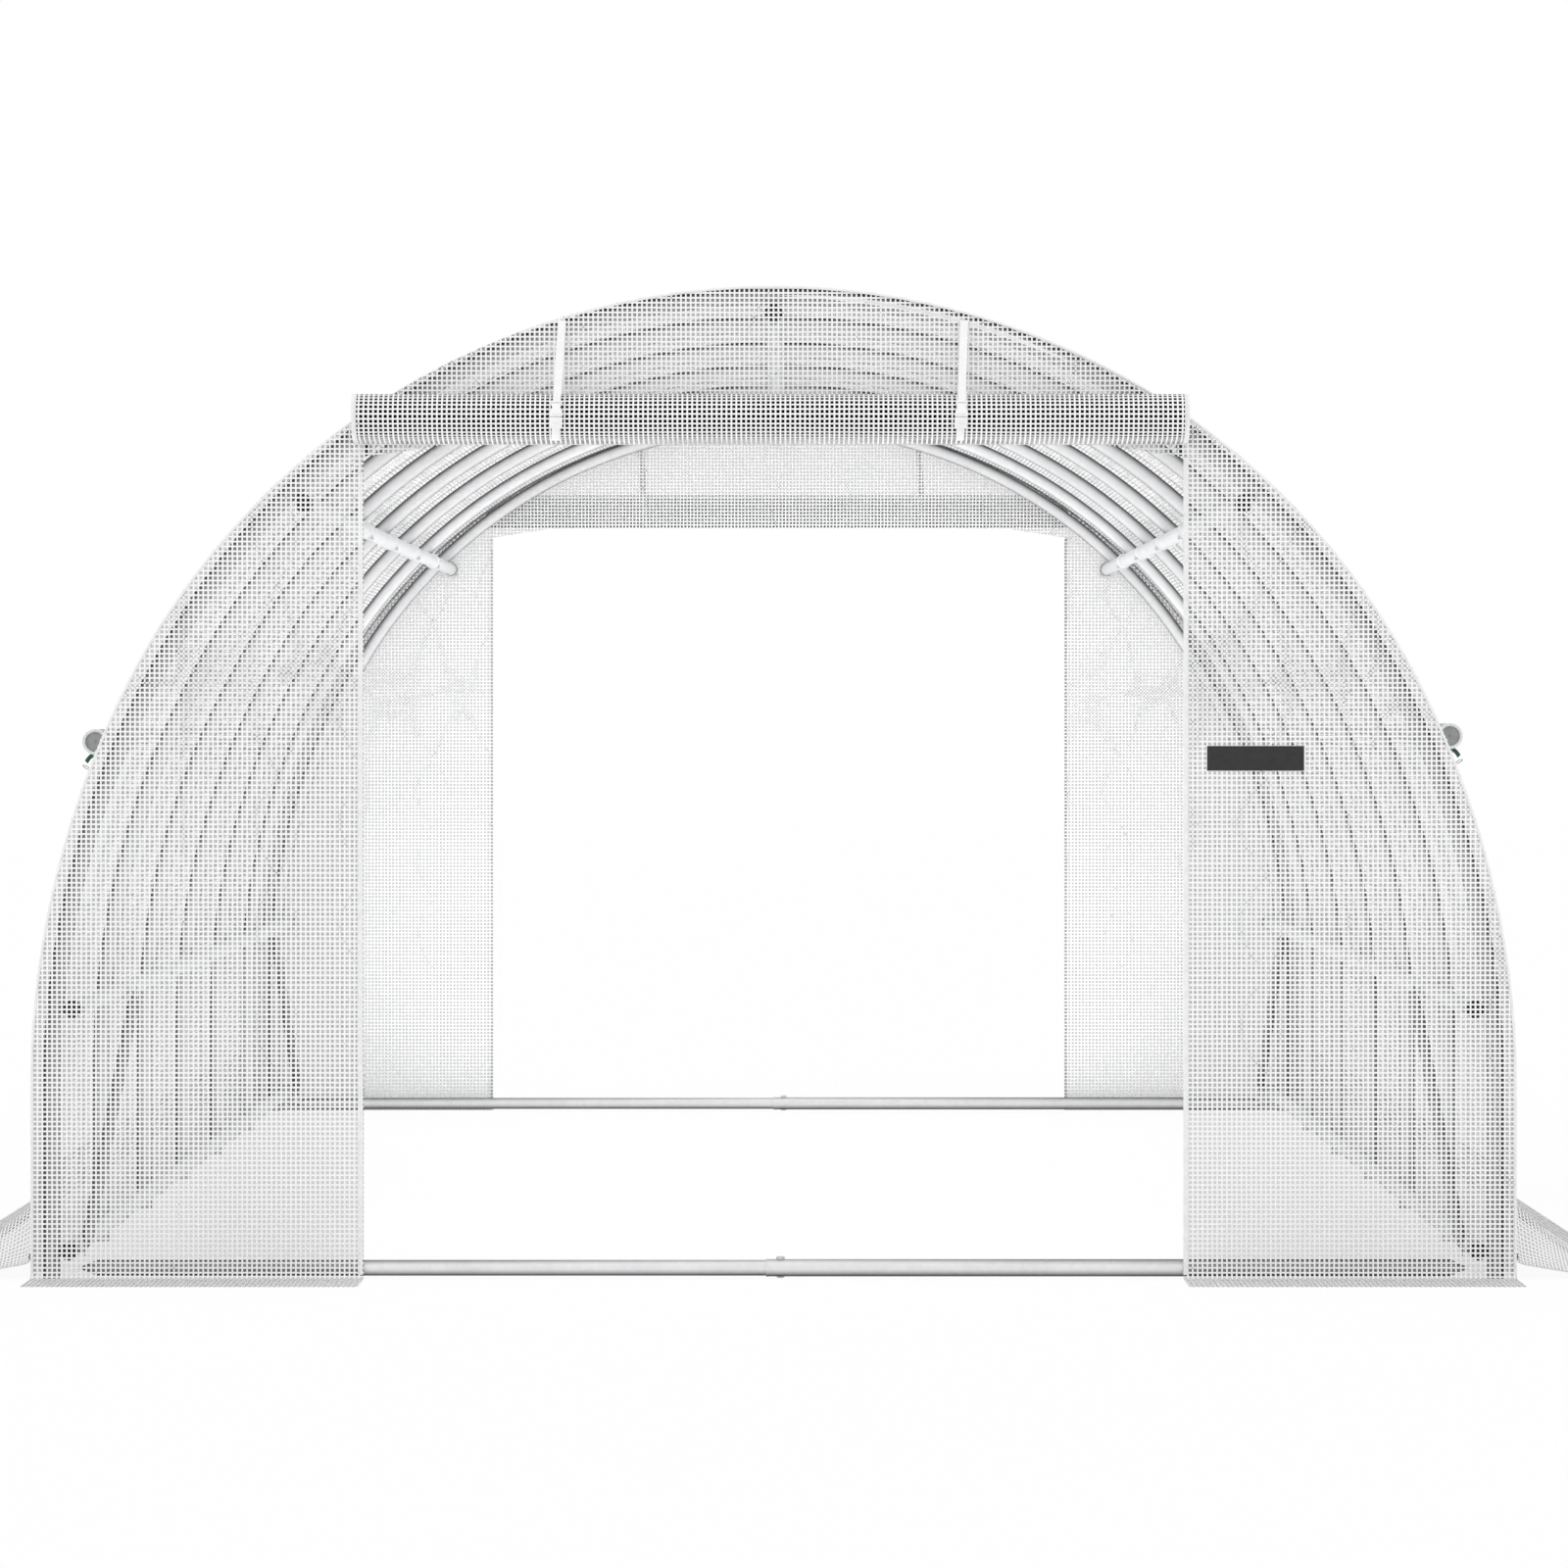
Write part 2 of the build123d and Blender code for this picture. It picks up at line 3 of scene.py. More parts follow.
import bpy
import numpy as np
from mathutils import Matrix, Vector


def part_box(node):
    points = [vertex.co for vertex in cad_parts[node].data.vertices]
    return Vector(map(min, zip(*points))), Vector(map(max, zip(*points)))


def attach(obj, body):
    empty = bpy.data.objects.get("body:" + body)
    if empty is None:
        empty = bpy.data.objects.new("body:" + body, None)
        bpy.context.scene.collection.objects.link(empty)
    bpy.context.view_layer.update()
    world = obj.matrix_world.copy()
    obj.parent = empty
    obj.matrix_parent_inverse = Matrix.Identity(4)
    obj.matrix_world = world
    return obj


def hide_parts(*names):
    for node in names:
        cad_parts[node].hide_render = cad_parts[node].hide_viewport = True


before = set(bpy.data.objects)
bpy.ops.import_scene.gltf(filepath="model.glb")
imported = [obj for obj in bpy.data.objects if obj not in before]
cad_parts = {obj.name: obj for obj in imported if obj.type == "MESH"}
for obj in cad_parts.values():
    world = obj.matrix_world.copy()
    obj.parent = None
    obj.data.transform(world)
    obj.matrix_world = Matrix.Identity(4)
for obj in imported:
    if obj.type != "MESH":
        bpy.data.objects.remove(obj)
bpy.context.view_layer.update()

# Polytunnel greenhouse in metres: +Z is up, the front door faces -Y.

# Driving dimensions that the solids share
HALF_WIDTH = 1.502
CROWN_HEIGHT = 2.007
LEG_HEIGHT = 0.39
HAUNCH_RADIUS = 1.795
FILM = 0.0015
HOOP_HALF_WIDTH = 1.461
HOOP_CROWN_HEIGHT = 1.9875
HOOP_HAUNCH_RADIUS = 1.760
TUBE_RADIUS = 0.0175
PURLIN_RADIUS = 0.017
SLEEVE_RADIUS = 0.0185
SLEEVE_LENGTH = 0.070
BAYS = 6
END_Y = 3.0
HOOP_Y = 2.9805
BAY = 2 * HOOP_Y / BAYS
SEAM_HEIGHT = 1.600
DOOR_HALF_WIDTH = 0.828
DOOR_CORNER_HEIGHT = 1.660
DOOR_HEIGHT = 1.685
DOOR_HAUNCH = 0.165
ZIP_WIDTH = 0.012
SKIRT = 0.002

# Woven grid of the cover
PITCH = 0.00985
STRAND = 0.0034
STRAND_LIFT = 0.0005
SAG = 0.006

# Windows in the side walls
WINDOW_WIDTH = 0.600
WINDOW_BOTTOM = 0.740
WINDOW_TOP = 1.070
WINDOW_CORNER = 0.012
WINDOW_SEAM = 0.015


class Arch:
    """Plumb legs, two haunch arcs and a crown arc, measured by run from the crown."""

    def __init__(self, half_width, crown_height, haunch_radius):
        rise = crown_height - LEG_HEIGHT
        side = haunch_radius - half_width
        radius = (haunch_radius**2 - side**2 - rise**2) / (2 * (haunch_radius - rise))
        haunch_turn = acos(side / (haunch_radius - radius))
        self.half_width = half_width
        self.crown_height = crown_height
        self.crown_radius = radius
        self.haunch_radius = haunch_radius
        self.crown_turn = pi / 2 - haunch_turn
        self.crown_run = radius * self.crown_turn
        self.curved_run = self.crown_run + haunch_radius * haunch_turn
        self.run = self.curved_run + LEG_HEIGHT

    def at(self, run, lift=0.0):
        """x, z and outward normal at runs from the crown, right side positive."""
        run = np.asarray(run, float)
        side = np.where(run < 0, -1.0, 1.0)
        run = np.abs(run)
        crown = run < self.crown_run
        haunch_turn = self.crown_turn + (run - self.crown_run) / self.haunch_radius
        turn = np.where(crown, run / self.crown_radius, np.minimum(haunch_turn, pi / 2))
        radius = np.where(crown, self.crown_radius, self.haunch_radius) + lift
        centre_x = np.where(crown, 0, self.half_width - self.haunch_radius)
        centre_z = np.where(crown, self.crown_height - self.crown_radius, LEG_HEIGHT)
        drop = np.maximum(run - self.curved_run, 0)
        x = side * (centre_x + radius * np.sin(turn))
        z = centre_z + radius * np.cos(turn) - drop
        return x, z, side * np.sin(turn), np.cos(turn)

    def run_at(self, height):
        """Run from the crown to a height on the right side."""
        if height <= LEG_HEIGHT:
            return self.run - height
        turn = pi / 2 - asin((height - LEG_HEIGHT) / self.haunch_radius)
        if turn > self.crown_turn:
            return self.crown_run + (turn - self.crown_turn) * self.haunch_radius
        rise = height - self.crown_height + self.crown_radius
        return acos(min(rise / self.crown_radius, 1.0)) * self.crown_radius

    def half_width_at(self, height):
        """Half the inside width at a height."""
        return float(self.at(self.run_at(height))[0])

    def height_at(self, x):
        """Height of the arch over a distance from the middle."""
        x = abs(x)
        if x <= self.crown_radius * sin(self.crown_turn):
            rise = (self.crown_radius**2 - x**2) ** 0.5
            return self.crown_height - self.crown_radius + rise
        across = x - self.half_width + self.haunch_radius
        return LEG_HEIGHT + max(self.haunch_radius**2 - across**2, 0) ** 0.5


COVER = Arch(HALF_WIDTH, CROWN_HEIGHT, HAUNCH_RADIUS)
HOOP = Arch(HOOP_HALF_WIDTH, HOOP_CROWN_HEIGHT, HOOP_HAUNCH_RADIUS)


# Materials

def new_material(name):
    """A node material with its Principled shader."""
    material = bpy.data.materials.new(name)
    material.use_nodes = True
    return material, material.node_tree, material.node_tree.nodes["Principled BSDF"]


def add_node(tree, kind, settings=None, **inputs):
    """A node with its settings and its unlinked inputs set."""
    node = tree.nodes.new(kind)
    for key, value in (settings or {}).items():
        setattr(node, key, value)
    for key, value in inputs.items():
        node.inputs[key.replace("_", " ")].default_value = value
    return node


def object_noise(tree, scale, detail=3.0, stretch=(1, 1, 1)):
    """Noise over the object in metres."""
    place = add_node(tree, "ShaderNodeTexCoord")
    mapping = add_node(tree, "ShaderNodeMapping", Scale=stretch)
    noise = add_node(tree, "ShaderNodeTexNoise", Scale=scale, Detail=detail)
    tree.links.new(place.outputs["Object"], mapping.inputs["Vector"])
    tree.links.new(mapping.outputs["Vector"], noise.inputs["Vector"])
    return noise.outputs["Fac"]


def ramp(tree, source, low, high, start=0.3, end=0.7):
    """Colour ramp from low to high."""
    node = add_node(tree, "ShaderNodeValToRGB")
    node.color_ramp.elements[0].position = start
    node.color_ramp.elements[1].position = end
    node.color_ramp.elements[0].color = (*low, 1)
    node.color_ramp.elements[1].color = (*high, 1)
    tree.links.new(source, node.inputs["Fac"])
    return node.outputs["Color"]


def spread(tree, source, low, high, start=0.3, end=0.7):
    """A number from low to high."""
    node = add_node(tree, "ShaderNodeMapRange")
    for key, value in (("From Min", start), ("From Max", end), ("To Min", low), ("To Max", high)):
        node.inputs[key].default_value = value
    tree.links.new(source, node.inputs["Value"])
    return node.outputs["Result"]


def bump(tree, shader, source, strength, distance):
    """Bump from a height."""
    node = add_node(tree, "ShaderNodeBump", Strength=strength, Distance=distance)
    tree.links.new(source, node.inputs["Height"])
    tree.links.new(node.outputs["Normal"], shader.inputs["Normal"])


def painted_tube_shade(tree):
    """Painted shade mask for tubes: how far a tube's surface faces along the tunnel, less where it faces the cover.
    """
    place = add_node(tree, "ShaderNodeTexCoord")
    split = add_node(tree, "ShaderNodeSeparateXYZ")
    tree.links.new(place.outputs["Normal"], split.inputs["Vector"])
    along = add_node(tree, "ShaderNodeMath", {"operation": "ABSOLUTE"})
    tree.links.new(split.outputs["Y"], along.inputs[0])
    across = add_node(tree, "ShaderNodeVectorMath", {"operation": "MULTIPLY_ADD"})
    across.inputs[1].default_value = (1, 0, 1)
    across.inputs[2].default_value = (0, 0, -0.5)
    tree.links.new(place.outputs["Object"], across.inputs[0])
    outward = add_node(tree, "ShaderNodeVectorMath", {"operation": "NORMALIZE"})
    tree.links.new(across.outputs["Vector"], outward.inputs[0])
    facing = add_node(tree, "ShaderNodeVectorMath", {"operation": "DOT_PRODUCT"})
    tree.links.new(outward.outputs["Vector"], facing.inputs[0])
    tree.links.new(place.outputs["Normal"], facing.inputs[1])
    # Facing the cover counts -0.32 and facing the inside of the arch +0.32, so both sides fall to the painted shade
    # colour.
    result = add_node(tree, "ShaderNodeMath", {"operation": "MULTIPLY_ADD"})
    result.inputs[1].default_value = -0.32
    tree.links.new(facing.outputs["Value"], result.inputs[0])
    tree.links.new(along.outputs["Value"], result.inputs[2])
    return result.outputs["Value"]


def galvanised_tube(name, edge, face):
    """Zinc with a fine spangle and painted shade: edge is the painted shade colour on the inner and outer sides of
    the arch, face the lit colour where the tube faces along the tunnel.
    """
    material, tree, shader = new_material(name)
    place = add_node(tree, "ShaderNodeTexCoord")
    spangle = add_node(tree, "ShaderNodeTexVoronoi", Scale=90)
    tree.links.new(place.outputs["Object"], spangle.inputs["Vector"])
    cloud = object_noise(tree, 7, 5)
    # Painted shade: the base colour drops from face to edge where the tube faces across the arch.
    side = ramp(tree, painted_tube_shade(tree), edge, face, 0.35, 0.97)
    tone = spread(tree, spangle.outputs["Color"], 0.94, 1.0, 0, 1)
    mottle = spread(tree, cloud, 0.93, 1.0)
    both = add_node(tree, "ShaderNodeMath", {"operation": "MULTIPLY"})
    tree.links.new(tone, both.inputs[0])
    tree.links.new(mottle, both.inputs[1])
    scaled = add_node(tree, "ShaderNodeVectorMath", {"operation": "SCALE"})
    tree.links.new(side, scaled.inputs[0])
    tree.links.new(both.outputs["Value"], scaled.inputs["Scale"])
    tree.links.new(scaled.outputs["Vector"], shader.inputs["Base Color"])
    tree.links.new(spread(tree, cloud, 0.48, 0.38), shader.inputs["Roughness"])
    shader.inputs["Metallic"].default_value = 0.3
    shader.inputs["Specular IOR Level"].default_value = 0.2
    shader.inputs["Specular Tint"].default_value = (0.35, 0.35, 0.35, 1)
    bump(tree, shader, object_noise(tree, 160, 4), 0.12, 0.0005)
    return material


def zinc_bolt():
    material, tree, shader = new_material("zinc_bolt")
    cloud = object_noise(tree, 220, 4)
    tree.links.new(ramp(tree, cloud, (0.52, 0.52, 0.53), (0.68, 0.68, 0.69)), shader.inputs["Base Color"])
    tree.links.new(spread(tree, cloud, 0.30, 0.48), shader.inputs["Roughness"])
    shader.inputs["Metallic"].default_value = 0.4
    return material


def soft_plastic(name, low, high, grain=400, roughness=(0.38, 0.52)):
    """Moulded plastic with a fine grain."""
    material, tree, shader = new_material(name)
    cloud = object_noise(tree, 25, 4)
    tree.links.new(ramp(tree, cloud, low, high), shader.inputs["Base Color"])
    tree.links.new(spread(tree, cloud, *roughness), shader.inputs["Roughness"])
    bump(tree, shader, object_noise(tree, grain, 2), 0.2, 0.0003)
    return material


def grid_film():
    """Clear film between the strands, which passes a little over half of the light."""
    material, tree, shader = new_material("grid_film")
    cloud = object_noise(tree, 2.2, 4)
    tree.links.new(ramp(tree, cloud, (0.008, 0.009, 0.009), (0.016, 0.017, 0.017)), shader.inputs["Base Color"])
    tree.links.new(spread(tree, cloud, 0.32, 0.40), shader.inputs["Alpha"])
    tree.links.new(spread(tree, cloud, 0.24, 0.34), shader.inputs["Roughness"])
    shader.inputs["Specular IOR Level"].default_value = 0.06
    shader.inputs["Sheen Weight"].default_value = 1.0
    shader.inputs["Sheen Roughness"].default_value = 0.30
    bump(tree, shader, object_noise(tree, 45, 3), 0.25, 0.001)
    return material


def grid_strand():
    """White tape yarn of the woven grid."""
    material, tree, shader = new_material("grid_strand")
    cloud = object_noise(tree, 6, 5)
    colour = ramp(tree, cloud, (0.95, 0.955, 0.955), (0.975, 0.975, 0.975))
    tree.links.new(colour, shader.inputs["Base Color"])
    tree.links.new(spread(tree, cloud, 0.40, 0.55), shader.inputs["Roughness"])
    shader.inputs["Specular IOR Level"].default_value = 0.3
    return material


def woven_tape(name, low, high, rib, roughness=(0.55, 0.75)):
    """Woven tape with ribs and fine threads, in metres over the object."""
    material, tree, shader = new_material(name)
    place = add_node(tree, "ShaderNodeTexCoord")
    ribs = add_node(tree, "ShaderNodeTexWave", {"bands_direction": "Z"}, Scale=rib, Distortion=1.5)
    tree.links.new(place.outputs["Object"], ribs.inputs["Vector"])
    cloud = object_noise(tree, 60, 4)
    tree.links.new(ramp(tree, cloud, low, high), shader.inputs["Base Color"])
    tree.links.new(spread(tree, cloud, *roughness), shader.inputs["Roughness"])
    bump(tree, shader, ribs.outputs["Fac"], 0.35, 0.0004)
    return material


# Hoops, braces and sills: painted shade of 0.16 where a tube faces across the arch, up to 0.84 grey where it faces
# along the tunnel.
STEEL = galvanised_tube("galvanised_tube", (0.16, 0.16, 0.165), (0.84, 0.84, 0.85))
# Purlins: the same galvanised steel painted lighter to stand in for grazing highlight, with a milder painted side
# shade.
PAINTED_LIT_STEEL = galvanised_tube("painted_lit_tube", (0.86, 0.87, 0.88), (0.95, 0.95, 0.96))
BOLT = zinc_bolt()
BLACK = soft_plastic("black_cap", (0.008, 0.008, 0.008), (0.022, 0.022, 0.022))
FILM_SHEET = grid_film()
YARN = grid_strand()
HEM = woven_tape("hem_tape", (0.84, 0.85, 0.85), (0.94, 0.94, 0.94), 320)
NET_YARN = soft_plastic("net_yarn", (0.66, 0.68, 0.68), (0.82, 0.84, 0.84))
RIBBON = woven_tape("green_ribbon", (0.010, 0.060, 0.028), (0.022, 0.115, 0.060), 420, (0.32, 0.45))
WEBBING = woven_tape("white_webbing", (0.92, 0.92, 0.92), (0.98, 0.98, 0.98), 380)
BUCKLE = soft_plastic("white_plastic", (0.90, 0.90, 0.90), (0.96, 0.96, 0.96))
ROLL_EDGE = soft_plastic("rolled_edge", (0.72, 0.73, 0.73), (0.86, 0.87, 0.87), 150, (0.45, 0.6))
# Core in each roll's hollow: dark grey as painted shade inside the roll.
ROLL_CORE = soft_plastic("painted_core_shade", (0.28, 0.29, 0.29), (0.42, 0.43, 0.43), 60, (0.5, 0.7))
PATCH = woven_tape("black_patch", (0.012, 0.012, 0.013), (0.030, 0.030, 0.032), 600)


# Mesh building

class Pile:
    """Points, faces and material marks of many small forms that become one mesh."""

    def __init__(self):
        self.points = []
        self.faces = []
        self.marks = []
        self.count = 0

    def add(self, points, faces, mark=0):
        points = np.asarray(points, float).reshape(-1, 3)
        faces = np.asarray(faces, int)
        self.points.append(points)
        self.faces.extend((faces + self.count).tolist())
        self.marks.extend([mark] * len(faces))
        self.count += len(points)

    def grid(self, points, mark=0, flip=False):
        """Quads over an array of rows of points."""
        rows, columns = points.shape[:2]
        first = (np.arange(rows - 1)[:, None] * columns + np.arange(columns - 1)).ravel()
        quads = np.stack([first, first + 1, first + columns + 1, first + columns], 1)
        self.add(points, quads[:, ::-1] if flip else quads, mark)

    def ring_tube(self, rings, mark=0, capped=True):
        """Skin over an array of closed rings of points."""
        count, sides = rings.shape[:2]
        step = np.arange(sides)
        following = (step + 1) % sides
        quads = []
        for ring in range(count - 1):
            low = ring * sides
            quads.append(np.stack([low + step, low + following, low + sides + following, low + sides + step], 1))
        self.add(rings, np.concatenate(quads), mark)
        if capped:
            for ring, turn in ((rings[0], -1), (rings[-1], 1)):
                fan = np.stack([step, following, np.full(sides, sides)], 1)[:, ::turn]
                self.add(np.vstack([ring, ring.mean(0)]), fan, mark)

    def piece(self, name, materials, slot, smooth=True, map_points=None):
        """The finished object, riding on the one body."""
        mesh = bpy.data.meshes.new(name)
        mesh.from_pydata(np.concatenate(self.points).tolist(), [], self.faces)
        for material in materials:
            mesh.materials.append(material)
        if len(materials) > 1:
            mesh.polygons.foreach_set("material_index", self.marks)
        mesh.polygons.foreach_set("use_smooth", [smooth] * len(mesh.polygons))
        if map_points is not None:
            layer = mesh.uv_layers.new(name="OFBake")
            corner = np.empty(len(mesh.loops), int)
            mesh.loops.foreach_get("vertex_index", corner)
            layer.data.foreach_set("uv", map_points[corner].astype(np.float32).ravel())
        mesh.validate()
        made = bpy.data.objects.new(name, mesh)
        bpy.context.scene.collection.objects.link(made)
        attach(made, "root")
        return made


def sharpen(made, angle=35):
    """Smooth shading with crisp edges over an angle."""
    made.data.set_sharp_from_angle(angle=radians(angle))
    return made


def rings_along(centres, across, above, half_across, half_above, sides):
    """Elliptical rings at centres, in the directions across and above."""
    turn = np.arange(sides) * 2 * pi / sides
    half_across = np.broadcast_to(half_across, len(centres))
    half_above = np.broadcast_to(half_above, len(centres))
    wide = half_across[:, None, None] * across[:, None, :] * np.cos(turn)[None, :, None]
    high = half_above[:, None, None] * above[:, None, :] * np.sin(turn)[None, :, None]
    return centres[:, None, :] + wide + high


def straight_rings(start, direction, above, stations, sides):
    """Rings along a straight line from (distance, half_across, half_above) stations."""
    direction = np.asarray(direction, float) / np.linalg.norm(direction)
    above = np.asarray(above, float)
    above = above - direction * above.dot(direction)
    above /= np.linalg.norm(above)
    across = np.cross(direction, above)
    centres = np.array([np.asarray(start) + direction * s[0] for s in stations])
    count = len(stations)
    return rings_along(
        centres,
        np.tile(across, (count, 1)),
        np.tile(above, (count, 1)),
        np.array([s[1] for s in stations]),
        np.array([s[2] for s in stations]),
        sides,
    )


def add_bolt(pile, centre, direction, head_radius, head_height, washer_radius, mark=0):
    """Washer and chamfered hexagon head standing on a surface."""
    washer = head_height * 0.25
    rim = [(0, washer_radius), (washer, washer_radius)]
    above = (0, 0, 1) if abs(direction[2]) < 0.9 else (0, 1, 0)
    pile.ring_tube(straight_rings(centre, direction, above, [(d, r, r) for d, r in rim], 16), mark)
    head = [(washer, 1.0), (0.8 * head_height, 1.0), (head_height, 0.82)]
    rings = [(d, head_radius * r, head_radius * r) for d, r in head]
    pile.ring_tube(straight_rings(centre, direction, above, rings, 6), mark)


# Steel frame

HOOP_PLACES = [number * BAY - HOOP_Y for number in range(BAYS + 1)]
TUBE_SIDES = 24


def arch_runs(arch, crown_steps, haunch_steps, leg_steps=1):
    """Runs from the left foot to the right foot."""
    half = np.concatenate([
        np.linspace(0, arch.crown_run, crown_steps + 1)[:-1],
        np.linspace(arch.crown_run, arch.curved_run, haunch_steps + 1)[:-1],
        np.linspace(arch.curved_run, arch.run, leg_steps + 1),
    ])
    return np.concatenate([-half[:0:-1], half])


def make_hoops():
    runs = arch_runs(HOOP, 40, 12)
    x, z, out_x, out_z = HOOP.at(runs)
    for number, y in enumerate(HOOP_PLACES):
        centres = np.stack([x, np.full_like(x, y), z], 1)
        outward = np.stack([out_x, np.zeros_like(x), out_z], 1)
        along = np.tile((0.0, 1.0, 0.0), (len(runs), 1))
        pile = Pile()
        pile.ring_tube(rings_along(centres, along, outward, TUBE_RADIUS, TUBE_RADIUS, TUBE_SIDES))
        hoop = sharpen(pile.piece(f"hoop_{number + 1}_tube", [STEEL], "galvanised_tube"), 60)
        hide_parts(f"hoop_{number + 1}")


LINE_NODES = [
    "ridge_purlin", "left_shoulder_purlin", "right_shoulder_purlin",
    "left_waist_purlin", "right_waist_purlin", "left_base_rail", "right_base_rail",
]


def line_centre(node):
    """Centre of a lengthwise tube line."""
    low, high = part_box(node)
    return (low.x + high.x) / 2, (low.z + high.z) / 2


def make_purlins():
    """Each bay's tube narrows into the flared end of the next one at a hoop."""
    lip = 0.0025
    for node in LINE_NODES:
        x, z = line_centre(node)
        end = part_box(node)[1].y
        stations = [(0, PURLIN_RADIUS)]
        for y in HOOP_PLACES[1:-1]:
            low, high = y - SLEEVE_LENGTH / 2 + end, y + SLEEVE_LENGTH / 2 + end
            stations += [
                (low - 0.012, PURLIN_RADIUS),
                (low - 0.002, PURLIN_RADIUS - 0.0006),
                (low, PURLIN_RADIUS),
                (low, SLEEVE_RADIUS + 0.0014),
                (low + lip, SLEEVE_RADIUS + 0.0020),
                (low + 4 * lip, SLEEVE_RADIUS + 0.0010),
                (high - 2 * lip, SLEEVE_RADIUS),
                (high + 0.020, PURLIN_RADIUS),
            ]
        stations.append((2 * end, PURLIN_RADIUS))
        pile = Pile()
        rings = straight_rings((x, -end, z), (0, 1, 0), (0, 0, 1), [(d, r, r) for d, r in stations], TUBE_SIDES)
        pile.ring_tube(rings)
        tube = sharpen(pile.piece(f"{node}_tube", [PAINTED_LIT_STEEL], "galvanised_tube"), 40)
        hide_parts(node)


def make_end_caps():
    """Black caps with a rounded rim, pushed over the ends of every line."""
    low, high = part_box("purlin_end_caps")
    pile = Pile()
    for node in LINE_NODES:
        x, z = line_centre(node)
        for sign in (-1, 1):
            face = high.y
            shape = [(0, 0.80), (0.0008, 0.93), (0.0022, 1.0), (0.0115, 1.0), (0.012, 0.97), (0.012, 0.93)]
            rings = straight_rings(
                (x, sign * face, z), (0, -sign, 0), (0, 0, 1),
                [(d, SLEEVE_RADIUS * r, SLEEVE_RADIUS * r) for d, r in shape], TUBE_SIDES,
            )
            pile.ring_tube(rings)
    caps = sharpen(pile.piece("line_end_caps", [BLACK], "black_cap"), 40)
    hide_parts("purlin_end_caps")


def make_frame_bolts():
    """A bolt through each crossing, with its nut on the inner side of the purlin."""
    pile = Pile()
    for node in LINE_NODES:
        x, z = line_centre(node)
        for y in HOOP_PLACES:
            runs = np.linspace(-HOOP.run, HOOP.run, 1200)
            hoop_x, hoop_z, out_x, out_z = HOOP.at(runs)
            near = int(np.argmin((hoop_x - x) ** 2 + (hoop_z - z) ** 2))
            out = np.array([out_x[near], 0, out_z[near]])
            inner = np.array([x, y, z]) - out * SLEEVE_RADIUS
            add_bolt(pile, inner, -out, 0.0060, 0.0045, 0.0075)
            tip = inner - out * 0.0045
            pile.ring_tube(straight_rings(tip, -out, (0, 1, 0), [(0, 0.003, 0.003), (0.004, 0.0026, 0.0026)], 10))
            side = np.array([hoop_x[near], y, hoop_z[near]]) + out * (TUBE_RADIUS - 0.0035)
            pile.ring_tube(straight_rings(side, out, (0, 1, 0), [(0, 0.006, 0.006), (0.0045, 0.004, 0.004)], 12))
    sharpen(pile.piece("crossing_bolts", [BOLT], "galvanised_tube"))


def make_braces():
    """Diagonal tubes with flattened ends, running from the base rail up to the waist purlin."""
    for end in ("front", "rear"):
        for side in ("left", "right"):
            node = f"{end}_{side}_brace"
            low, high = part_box(node)
            sign = -1 if side == "left" else 1
            end_sign = -1 if end == "front" else 1
            foot_x = 1.393 * sign
            head_x = 1.386 * sign
            foot = np.array([foot_x, end_sign * HOOP_Y, 0.055])
            head = np.array([head_x, end_sign * (HOOP_Y - BAY), 0.545])
            length = float(np.linalg.norm(head - foot))
            radius = 0.013
            flat = [
                (0, 0.0135, 0.0028), (0.030, 0.0150, 0.0028), (0.055, 0.0135, 0.011), (0.075, radius, radius),
            ]
            stations = flat + [(length - d, a, b) for d, a, b in reversed(flat)]
            pile = Pile()
            pile.ring_tube(straight_rings(foot, head - foot, (1, 0, 0), stations, 20))
            made = sharpen(pile.piece(f"{node}_tube", [STEEL], "galvanised_tube"), 40)
            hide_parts(node)


SILL_CENTRE = 0.021
SILL_JOINT_X = -0.015
SILL_BOLT_X = 0.014


def make_sills():
    """A wide half sleeved over a narrow one and bolted near the middle."""
    for end, node in (("front", "front_sill_tube"), ("rear", "rear_sill_tube")):
        low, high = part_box(node)
        y = (low.y + high.y) / 2
        wide = 0.0175
        narrow = 0.016
        joint = SILL_JOINT_X - low.x
        length = high.x - low.x
        stations = [
            (0, 0.015, 0.0015), (0.040, 0.017, 0.0015), (0.075, narrow, narrow),
            (joint, narrow, narrow), (joint, wide + 0.0003, wide + 0.0003),
            (joint + 0.003, wide + 0.0005, wide + 0.0005), (joint + 0.006, wide, wide),
            (length - 0.075, wide, wide), (length - 0.040, 0.017, 0.0015), (length, 0.015, 0.0015),
        ]
        pile = Pile()
        pile.ring_tube(straight_rings((low.x, y, SILL_CENTRE), (1, 0, 0), (0, 0, 1), stations, 28))
        add_bolt(pile, (SILL_BOLT_X, y, SILL_CENTRE + wide - 0.0005), (0, 0, 1), 0.0085, 0.0065, 0.0085, 1)
        add_bolt(pile, (SILL_BOLT_X, y, SILL_CENTRE - wide + 0.0005), (0, 0, -1), 0.0075, 0.0032, 0.0085, 1)
        made = sharpen(pile.piece(f"{end}_sill", [STEEL, BOLT], "galvanised_tube"), 40)
        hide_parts(node)


# Woven film cover

def sag_at(y, run):
    """How far the film dips between two hoops."""
    turn = (np.asarray(y) + HOOP_Y) / BAY * pi
    wall = np.clip((COVER.run - np.abs(run)) / LEG_HEIGHT, 0, 1)
    return SAG * np.sin(turn) ** 2 * wall


def cover_points(run, y, lift):
    """Places on the cover at runs from the crown and distances along it."""
    run, y = np.broadcast_arrays(np.asarray(run, float), np.asarray(y, float))
    x, z, _, _ = COVER.at(run, lift - FILM / 2 - sag_at(y, run))
    return np.stack([x, y, z], -1)


